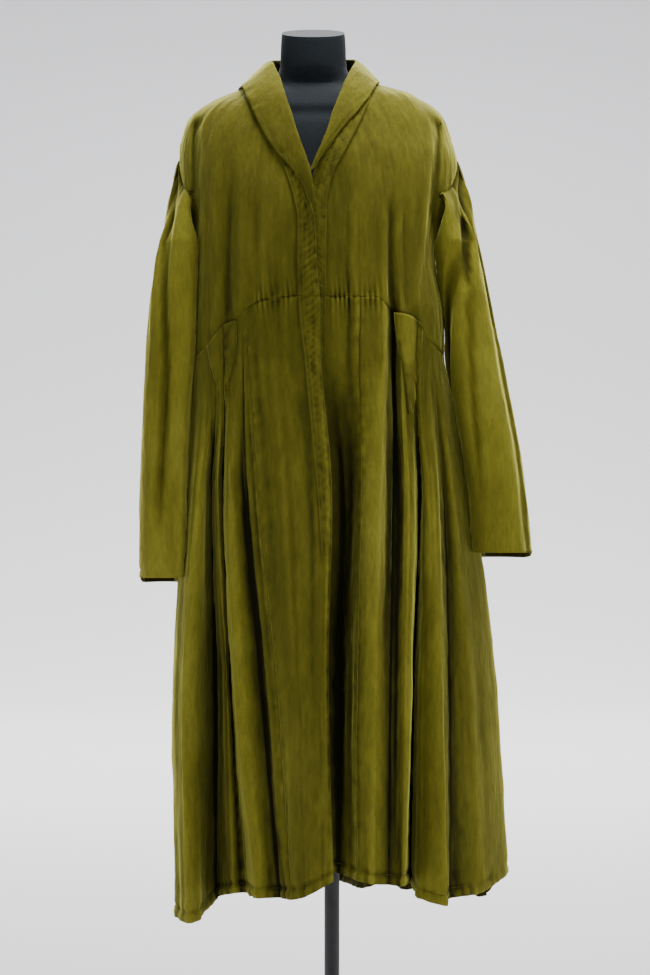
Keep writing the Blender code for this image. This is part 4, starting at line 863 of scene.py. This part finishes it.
def sleeve(side, pieces):
    """Points and normals of a sleeve, from the armhole seam to the cuff."""
    turns = np.arange(SLEEVE_SIDES) * 360 / SLEEVE_SIDES
    z_last, z_first = SLEEVES[side]["z"][[0, -1]]
    ring, first = sleeve_ring(side), sleeve_point(side, turns, z_first)
    inner_side = smoothstep(0.1, -0.5, np.cos(np.radians(turns)))
    start = ring + np.stack([SIGN[side] * 0.0032 * inner_side, 0 * turns, -0.0012 - 0.0030 * inner_side], -1)
    shares = np.linspace(0, 1, HEAD_ROWS)[:-1]
    head = [start + (first - start) * np.array([t ** 0.8, t ** 0.8, t]) for t in shares]
    up = unit(head[0] - head[2])
    outward = unit(np.cross(np.roll(ring, 1, axis=0) - np.roll(ring, -1, axis=0), up))
    outward *= np.sign(np.sum(outward * (ring - ring.mean(axis=0)), axis=-1, keepdims=True))
    tuck = (up * HEAD_TUCK[0] - outward * HEAD_TUCK[1]) * (1 - 0.95 * inner_side)[:, None]
    grid = [head[0] + tuck + (0, 0, 0.0004)] + head
    back = smoothstep(-0.2, 0.9, -np.sin(np.radians(turns)))
    for share in np.linspace(0, 1, SLEEVE_ROWS):
        points = sleeve_point(side, turns, z_first + (z_last - z_first) * share)
        grid.append(points - np.outer(CUFF_SLOPE * share ** 3 * back, (0, 0, 1)))
    grid = against_body(np.array(grid), side, pieces)[:, ::SIGN[side]]
    along = np.roll(grid, -1, axis=1) - np.roll(grid, 1, axis=1)
    normal = unit(np.cross(along, np.gradient(grid, axis=0)))
    down = arc(grid)
    to_cuff = down[-1:] - down
    seed = 51 if side == "right" else 61
    turn = np.linspace(0, 2 * np.pi, SLEEVE_SIDES, endpoint=False)
    round_x, round_y = np.cos(turn), np.sin(turn)
    relief = 0.0010 * rough(round_x * 2.2 + 9, round_y * 2.2 + down / 0.07, seed)
    relief += 0.0005 * rough(round_x * 6 + 20, round_y * 6 + down / 0.03, seed + 3)
    relief += 0.0013 * noise(round_x * 4 + 5, round_y * 4 + down / 0.05, seed + 5) * np.exp(-down / 0.045)
    relief *= smoothstep(0, 0.010, down)
    ends = smoothstep(0, 0.02, down) * smoothstep(0, 0.05, to_cuff)
    relief += sleeve_groove(side, grid) * ends * smoothstep(0.05, 0.5, -normal[..., 1])
    relief += stitch_relief(to_cuff - CUFF_STITCH, turn * 0.03, seed + 6, 0.0010) * smoothstep(0, 0.02, down)
    return moved(grid, normal, relief), normal


def collar():
    """Points and normals of the shawl collar, from the neckline up to its roll and over to its edge."""
    roll, fall, neck = collar_guides()
    lift = unit(roll - (neck + fall) / 2)
    shares = np.linspace(0, 2, COLLAR_ROWS)
    shares = shares + 0.144 * np.sin(np.pi * shares)
    rise, away = (spline(keys, values, shares) * size for keys, values, size in (COLLAR_RISE, COLLAR_ASIDE))
    aside = unit(np.cross(np.gradient(roll, axis=0), lift))
    aside *= np.sign(np.sum(aside * (roll - np.array([*NECK_MIDDLE, 0])) * (1, 1, 0)))
    grid = []
    for share, up, out in zip(shares, rise, away):
        base = neck + (roll - neck) * share if share <= 1 else roll + (fall - roll) * (share - 1)
        grid.append(base + lift * up + aside * out)
    grid = np.array(grid)
    for _ in range(2):
        grid[1:-1] = (grid[:-2] + 2 * grid[1:-1] + grid[2:]) / 4
    normal = grid_normals(grid)
    s, down = arc(grid, 1), arc(grid)
    relief = 0.0006 * rough(s / 0.03, down / 0.02, 71)
    relief += stitch_relief(down[-1:] - down - COLLAR_STITCH, s, 72, 0.0009)
    relief *= smoothstep(0, 0.008, s) * smoothstep(0, 0.008, s[:, -1:] - s) * smoothstep(0, 0.01, down)
    return moved(grid, normal, relief), normal


def grid_faces(rows, cols, start, closed, flip):
    """Four-sided faces of a grid of vertices."""
    c = np.arange(cols if closed else cols - 1)
    r = np.arange(rows - 1)
    a = (r[:, None] * cols + c[None, :]).ravel()
    b = (r[:, None] * cols + (c[None, :] + 1) % cols).ravel()
    quads = np.stack([a, b, b + cols, a + cols], axis=-1) + start
    return quads[:, ::-1] if flip else quads


def added(name, data):
    """An object of the scene with the given data."""
    made = bpy.data.objects.new(name, data)
    bpy.context.scene.collection.objects.link(made)
    return made


def add_mesh(name, verts, faces, finish):
    mesh = bpy.data.meshes.new(name)
    mesh.from_pydata(verts.tolist(), [], faces)
    mesh.validate()
    mesh.shade_smooth()
    mesh.materials.append(finish)
    return added(name, mesh)


def blurred(points, reach, closed=False):
    """Points averaged along their rows over about the given length."""
    spacing = np.linalg.norm(np.diff(points, axis=1), axis=-1).mean()
    n = int(np.clip(reach / spacing / 2, 1, points.shape[1] // 2 - 1))
    for _ in range(2):
        if closed:
            padded = np.concatenate([points[:, -n:], points, points[:, :n]], axis=1)
        else:
            first = 2 * points[:, :1] - points[:, n:0:-1]
            last = 2 * points[:, -1:] - points[:, -2:-n - 2:-1]
            padded = np.concatenate([first, points, last], axis=1)
        total = np.cumsum(np.concatenate([0 * padded[:, :1], padded], axis=1), axis=1)
        points = (total[:, 2 * n + 1:] - total[:, :-2 * n - 1]) / (2 * n + 1)
    return points


def hollows(points, normal, closed, share_kept):
    """How much each point lies in a fold, from -1 on a sharp ridge to 1 in a deep hollow: the measure for the
    velvet's painted highlight and painted shade.
    """
    depth = np.zeros(points.shape[:2])
    for reach, full, share in FOLD_SHADE_SIZES:
        if reach > 0:
            mean = blurred(points, reach, closed)
        else:
            mean = blurred(points.swapaxes(0, 1), -reach).swapaxes(0, 1)
        depth += share * np.clip(((mean - points) * normal).sum(-1) / full, -1, 1)
    return np.clip(depth - 0.4 * np.median(depth), -1, 1) * share_kept


def wall(name, points, normal, finish, closed, thick, shading):
    """A closed wall of cloth with its outer face on a grid of points, which keeps each point's fold for its
    painted shade and painted highlight, and painted shade on its inner face.
    """
    rows, cols = points.shape[:2]
    count = rows * cols
    verts = np.concatenate([points.reshape(-1, 3), (points - normal * thick).reshape(-1, 3)])
    faces = grid_faces(rows, cols, 0, closed, False).tolist()
    faces += grid_faces(rows, cols, count, closed, True).tolist()
    ring = []
    for c in range(cols if closed else cols - 1):
        after = (c + 1) % cols
        ring += [(c, after), ((rows - 1) * cols + after, (rows - 1) * cols + c)]
    for r in range(0 if closed else rows - 1):
        ring += [((r + 1) * cols, r * cols), (r * cols + cols - 1, (r + 1) * cols + cols - 1)]
    faces += [(a, a + count, b + count, b) for a, b in ring]
    made = add_mesh(name, verts, faces, finish)
    # Each point's fold sets painted shade in hollows and painted highlight on ridges; the inner face gets
    # painted shade
    fold = np.concatenate([hollows(points, normal, closed, shading).ravel(), np.full(count, LINING_PAINTED_SHADE)])
    made.data.attributes.new("fold", "FLOAT", "POINT").data.foreach_set("value", 0.5 + 0.5 * fold)
    return made


def stitches(name, paths, finish):
    """Short thread stitches along paths, each a list of points with the outward normals."""
    verts, faces = [], []
    for points, normal in paths:
        length = arc(points)
        for start in np.arange(STITCH_PITCH, length[-1] - STITCH_PITCH, STITCH_PITCH):
            p = picked(start + STITCH_LENGTH * np.array([0, 0.5, 1]), length, points)
            n = picked(start, length, normal)
            side = STITCH_WIDTH * unit(np.cross(p[2] - p[0], n))
            base = len(verts)
            for middle, rise, wide in zip(p, (0, 0.0007, 0), (0.4, 1, 0.4)):
                verts += [middle - side * wide, middle + n * rise, middle + side * wide]
            for k in (0, 3):
                for a, b in ((0, 1), (1, 2), (2, 0)):
                    faces.append((base + k + a, base + k + b, base + k + 3 + b, base + k + 3 + a))
            faces += [(base + 2, base + 1, base), (base + 6, base + 7, base + 8)]
    return add_mesh(name, np.array(verts), faces, finish)


def stacked(name, rings, finish):
    """A solid from rings of points, top ring first, each running clockwise as seen from above."""
    count, sides = len(rings), len(rings[0])
    faces = grid_faces(count, sides, 0, True, False).tolist()
    faces.append(tuple(reversed(range(sides))))
    faces.append(tuple((count - 1) * sides + c for c in range(sides)))
    made = add_mesh(name, np.concatenate(rings), faces, finish)
    made.data.set_sharp_from_angle(angle=math.radians(40))
    return made


def form_torso(finish):
    """The dress form, smooth from the tilted top of its neck to its foot, with a seam round the neck."""
    s, c = np.sin(FORM_BEARINGS), np.cos(FORM_BEARINGS)
    rings = []
    for z in np.linspace(FORM["z"][-1], FORM["z"][0], FORM_ROWS):
        part = {name: spline(FORM["z"], FORM[name], z) for name in FORM}
        deep = np.where(c > 0, part["y_mid"] - part["y_front"], part["y_back"] - part["y_mid"])
        reach = oval(s, c, part["half"], deep, SLEEVE_ROUNDNESS)
        reach = reach * (1 - 0.016 * np.exp(-((z - 1.4685) / 0.0016) ** 2))
        y = part["y_mid"] - reach * c
        rings.append(np.stack([part["x_mid"] + reach * s, y, z + y * part["tilt"]], axis=-1))
    return stacked("cover_torso", rings, finish)


def turned(name, profile, finish):
    """A solid turned about the Z axis from a profile of radius and height, top first."""
    x, y = np.cos(FORM_BEARINGS), np.sin(FORM_BEARINGS)
    return stacked(name, [np.stack([r * x, r * y, z + 0 * x], axis=-1) for r, z in profile], finish)


def node(tree, kind, **values):
    """A shader node with its inputs linked or set, and its other settings set."""
    made = tree.nodes.new(kind)
    for key, value in values.items():
        if isinstance(value, bpy.types.NodeSocket):
            tree.links.new(value, made.inputs[key])
        elif key in made.inputs:
            made.inputs[key].default_value = value
        else:
            setattr(made, key, value)
    return made


def stretched_noise(tree, scale, detail, stretch):
    """A noise node over the object's own coordinates, stretched upright by a share."""
    own = node(tree, "ShaderNodeTexCoord").outputs["Object"]
    mapped = node(tree, "ShaderNodeMapping", Vector=own, Scale=(1, 1, stretch)).outputs["Vector"]
    found = node(tree, "ShaderNodeTexNoise", Vector=mapped, Scale=scale, Detail=detail, Roughness=0.6)
    return found.outputs["Fac"]


def ramp(tree, value, stops):
    made = node(tree, "ShaderNodeValToRGB", Fac=value)
    for element, (position, color) in zip(made.color_ramp.elements, (stops[0], stops[-1])):
        element.position, element.color = position, (*color, 1)
    for position, color in stops[1:-1]:
        made.color_ramp.elements.new(position).color = (*color, 1)
    return made.outputs["Color"]


def multiplied(tree, first, second, share):
    """The product of two colours; the mix node's colours are its inputs 6 and 7 and its output 2."""
    made = node(tree, "ShaderNodeMix", data_type="RGBA", blend_type="MULTIPLY")
    made.inputs[0].default_value = share
    tree.links.new(first, made.inputs[6])
    tree.links.new(second, made.inputs[7])
    return made.outputs[2]


def bumped(tree, height, strength, distance, **under):
    made = node(tree, "ShaderNodeBump", Height=height, Strength=strength, Distance=distance, **under)
    return made.outputs["Normal"]


def new_material(name, roughness):
    made = bpy.data.materials.new(name)
    made.use_nodes = True
    shader = made.node_tree.nodes["Principled BSDF"]
    shader.inputs["Roughness"].default_value = roughness
    return made, made.node_tree, shader


VELVET_DARK = (0.095, 0.087, 0.006)
VELVET_MIDDLE = (0.124, 0.114, 0.009)
VELVET_LIGHT = (0.158, 0.146, 0.014)
VELVET_SHEEN = (0.66, 0.64, 0.12)
# The nap's mottling: scale, upright stretch and the factors between which it varies the colour
NAP_TONES = ((45, 0.30, 0.88, 1.12), (230, 0.22, 0.84, 1.16), (900, 0.7, 0.80, 1.16))
# Painted highlight and painted shade: factors of the colour from a sharp ridge (0) to a deep hollow (1)
PAINTED_SHADE_TONES = ((0.0, (2.0, 2.0, 2.6)), (0.32, (1.25, 1.25, 1.35)), (0.5, (1, 1, 1)),
              (0.70, (0.52, 0.52, 0.46)), (1.0, (0.07, 0.07, 0.045)))
WEAVE_SCALE = 700
METAL_TONES = ((0.3, (0.030, 0.030, 0.032)), (0.7, (0.060, 0.060, 0.062)))
METAL_ROUGHNESS = ((0.3, (0.38, 0.38, 0.38)), (0.7, (0.55, 0.55, 0.55)))
# The backdrop's pale colour, with painted shade that darkens the floor towards the front
FLOOR_PAINTED_SHADE_TONES = ((0.0, (0.50, 0.50, 0.51)), (1.0, (0.86, 0.86, 0.88)))
# The stage: where the floor begins and rises, the radius of the rise, its top and half its width
STAGE_FRONT, STAGE_RISE, STAGE_RADIUS, STAGE_TOP, STAGE_HALF = -14.0, 7.0, 2.0, 9.0, 14.0


def velvet():
    """Olive cotton velvet: mottled nap, upright streaks, painted shade in its hollows, painted highlight on
    its ridges and a soft sheen.
    """
    made, tree, shader = new_material("velvet", 0.92)
    nap = stretched_noise(tree, 9, 5, 0.45)
    color = ramp(tree, nap, ((0.32, VELVET_DARK), (0.50, VELVET_MIDDLE), (0.70, VELVET_LIGHT)))
    for scale, stretch, low, high in NAP_TONES:
        tone = ramp(tree, stretched_noise(tree, scale, 4, stretch), ((0.32, (low,) * 3), (0.68, (high,) * 3)))
        color = multiplied(tree, color, tone, 0.8)
    # Painted shade in the hollows and painted highlight on the ridges, from each point's fold value
    fold = node(tree, "ShaderNodeAttribute", attribute_name="fold").outputs["Fac"]
    color = multiplied(tree, color, ramp(tree, fold, PAINTED_SHADE_TONES), 1.0)
    tree.links.new(color, shader.inputs["Base Color"])
    normal = bumped(tree, stretched_noise(tree, 90, 5, 0.25), 0.6, 0.0030)
    normal = bumped(tree, stretched_noise(tree, 1000, 2, 0.7), 0.4, 0.0007, Normal=normal)
    tree.links.new(normal, shader.inputs["Normal"])
    shader.inputs["Sheen Weight"].default_value = 0.9
    shader.inputs["Sheen Roughness"].default_value = 0.3
    shader.inputs["Sheen Tint"].default_value = (*VELVET_SHEEN, 1)
    shader.inputs["Specular IOR Level"].default_value = 0.15
    return made


def plain_cloth(name, dark, light, roughness=0.9):
    """A closely woven cover or thread with a fine weave in its colour and bump."""
    made, tree, shader = new_material(name, roughness)
    weave = stretched_noise(tree, WEAVE_SCALE, 3, 1.0)
    tree.links.new(ramp(tree, weave, ((0.3, dark), (0.7, light))), shader.inputs["Base Color"])
    tree.links.new(bumped(tree, weave, 0.3, 0.0005), shader.inputs["Normal"])
    shader.inputs["Specular IOR Level"].default_value = 0.25
    return made


def stand_metal():
    """Dark painted steel with faint wear."""
    made, tree, shader = new_material("stand metal", 0.45)
    wear = stretched_noise(tree, 40, 5, 1.0)
    tree.links.new(ramp(tree, wear, METAL_TONES), shader.inputs["Base Color"])
    tree.links.new(ramp(tree, wear, METAL_ROUGHNESS), shader.inputs["Roughness"])
    shader.inputs["Metallic"].default_value = 0.3
    return made


def stage():
    """A floor that rises into a plain backdrop: pale up the rise, with painted shade that darkens the floor
    towards the front.
    """
    profile = [(STAGE_FRONT, 0.0), (STAGE_RISE, 0.0)]
    for a in np.linspace(0, math.pi / 2, 20)[1:]:
        profile.append((STAGE_RISE + STAGE_RADIUS * math.sin(a), STAGE_RADIUS - STAGE_RADIUS * math.cos(a)))
    profile.append((STAGE_RISE + STAGE_RADIUS, STAGE_TOP))
    verts = np.array([(x, y, z - 0.0005) for x in (-STAGE_HALF, STAGE_HALF) for y, z in profile])
    count = len(profile)
    faces = [(k, k + count, k + count + 1, k + 1) for k in range(count - 1)]
    made, tree, shader = new_material("backdrop", 0.95)
    parts = node(tree, "ShaderNodeSeparateXYZ", Vector=node(tree, "ShaderNodeTexCoord").outputs["Object"])
    # Painted shade: darker on the floor towards the front, paler up the rise
    share = node(tree, "ShaderNodeMapRange", Value=parts.outputs["Y"], **{"From Min": 0.5, "From Max": 7.5})
    tree.links.new(ramp(tree, share.outputs["Result"], FLOOR_PAINTED_SHADE_TONES), shader.inputs["Base Color"])
    add_mesh("backdrop", verts, faces, made)


def light(name, place, aim, size, power):
    data = bpy.data.lights.new(name, "AREA")
    data.shape = "RECTANGLE"
    data.size, data.size_y = size
    data.energy = power
    made = added(name, data)
    made.location = place
    made.visible_camera = False
    x, y, z = np.array(aim) - np.array(place)
    made.rotation_euler = (math.atan2(math.hypot(x, y), -z), 0, math.atan2(x, -y))


def lights():
    """A soft key from the front right of the picture, a weak fill and a pale surround."""
    light("key", (2.3, -2.5, 1.9), (0, 0, 0.85), (0.9, 1.3), 360)
    light("fill", (-2.6, -2.6, 1.4), (0, 0, 0.9), (1.6, 2.0), 42)
    light("top", (0.3, -0.2, 3.2), (0, 0, 1.0), (1.2, 1.0), 80)
    light("wash", (0, 5.2, 6.5), (0, 8.6, 1.6), (7.0, 2.0), 1900)
    world = bpy.data.worlds.new("surround")
    world.use_nodes = True
    world.node_tree.nodes["Background"].inputs["Color"].default_value = (0.82, 0.84, 0.88, 1)
    world.node_tree.nodes["Background"].inputs["Strength"].default_value = 0.28
    bpy.context.scene.world = world


CAMERA_PLACE = (-0.010, -4.0, 0.881)
CAMERA_LENS = 101.8


def camera():
    data = bpy.data.cameras.new("camera")
    data.lens = CAMERA_LENS
    data.sensor_width = 36.0
    made = added("camera", data)
    made.location = CAMERA_PLACE
    made.rotation_euler = (math.pi / 2, 0, 0)
    bpy.context.scene.camera = made


def place(piece, slot, *nodes):
    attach(piece, "root")
    if nodes:
        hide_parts(*nodes)


def sheet(node_name, points, normal, finish, held, rests_on, closed=False, thick=CLOTH, shading=1.0):
    """A wall of cloth that stands for a node of the frame and hides that node's own mesh."""
    piece = wall(f"{node_name}_cloth", points, normal, finish, closed, thick, shading)
    place(piece, "velvet", node_name)


def hem_paths(names, panels):
    """The stitch line a little above the hem of each named panel."""
    paths = []
    for name in names:
        _, points, normal = panels[name]
        height = arc(points[::-1])
        columns = range(points.shape[1])
        line = lambda rows: np.array([picked(HEM_STITCH, height[:, c], rows[::-1, c]) for c in columns])
        paths.append((line(points), line(normal)))
    return paths


def make_coat(finish, thread):
    bodice = {"front_right": bodice_front("right"), "front_left": bodice_front("left"), "back": bodice_back()}
    panels = {}
    for k, (name, fineness) in enumerate(PANELS.items()):
        first, last = PANEL_LINES[k:k + 2]
        panels[name] = skirt_panel(first, last, 101 + 10 * k, COLUMN_SIZE[fineness], name == "front_left")
    for name, (_, points, normal) in bodice.items():
        sheet(f"bodice_{name}", points, normal, finish, "draped", "form_torso", shading=0.75)
    for name, (_, points, normal) in panels.items():
        above = name if name in bodice else "back"
        sheet(f"skirt_{name}", points, normal, finish, "hung", f"bodice_{above}_cloth", shading=1.3)
    for side in ("right", "left"):
        pair = [panels[f"{name}_{side}"] for name in ("princess", "side")][::-SIGN[side]]
        sheet(f"inset_{side}", *inset(side, pair), finish, "laid", f"skirt_princess_{side}_cloth")
        front = f"front_{side}"
        points, normal = band(side, bodice[front], panels[front])
        sheet(f"band_{side}", points, normal, finish, "laid", f"bodice_{front}_cloth")
        paths = [(points[:, c], normal[:, c]) for c in (1, -2)]
        place(stitches(f"band_{side}_stitches", paths, thread), "velvet")
        hems = [front, f"princess_{side}", f"side_{side}"] + ["back"] * (side == "left")
        place(stitches(f"hem_{side}_stitches", hem_paths(hems, panels), thread), "velvet")
        near = [bodice["back"], bodice[front], panels[f"side_{side}"], panels["back"]]
        sheet(f"sleeve_{side}", *sleeve(side, near), finish, "hung", f"bodice_{front}_cloth", closed=True)
    points, normal = collar()
    sheet("collar", points, normal, finish, "folded", "bodice_back_cloth", False, COLLAR_THICKNESS, 0.7)
    place(stitches("collar_stitches", [(points[-3], normal[-3])], thread), "velvet")


def make_form(cover, metal):
    place(form_torso(cover), "form_cover", "form_torso")
    pole = [(POLE_RADIUS, FORM_BOTTOM - SEAM), (POLE_RADIUS, HUB_HEIGHT + SEAM)]
    place(turned("painted_pole", pole, metal), "stand_metal", "form_pole")
    edge = 0.003
    curve = [(math.sin(a), math.cos(a)) for a in np.linspace(0, math.pi / 2, 6)]
    profile = [(HUB_RADIUS - 0.004 - edge + edge * s, HUB_HEIGHT - edge + edge * c) for s, c in curve]
    profile += [(HUB_RADIUS, BASE_HEIGHT + 0.001), (HUB_RADIUS + 0.001, BASE_HEIGHT)]
    profile += [(BASE_RADIUS - edge + edge * s, BASE_HEIGHT - edge + edge * c) for s, c in curve]
    profile += [(BASE_RADIUS, 0.001), (BASE_RADIUS - 0.001, 0.0)]
    place(turned("painted_base", profile, metal), "stand_metal", "form_base")


camera()
lights()
stage()
make_coat(velvet(), plain_cloth("thread", (0.150, 0.130, 0.015), (0.270, 0.240, 0.040), 0.7))
make_form(plain_cloth("form cover", (0.008, 0.011, 0.014), (0.020, 0.026, 0.031)), stand_metal())
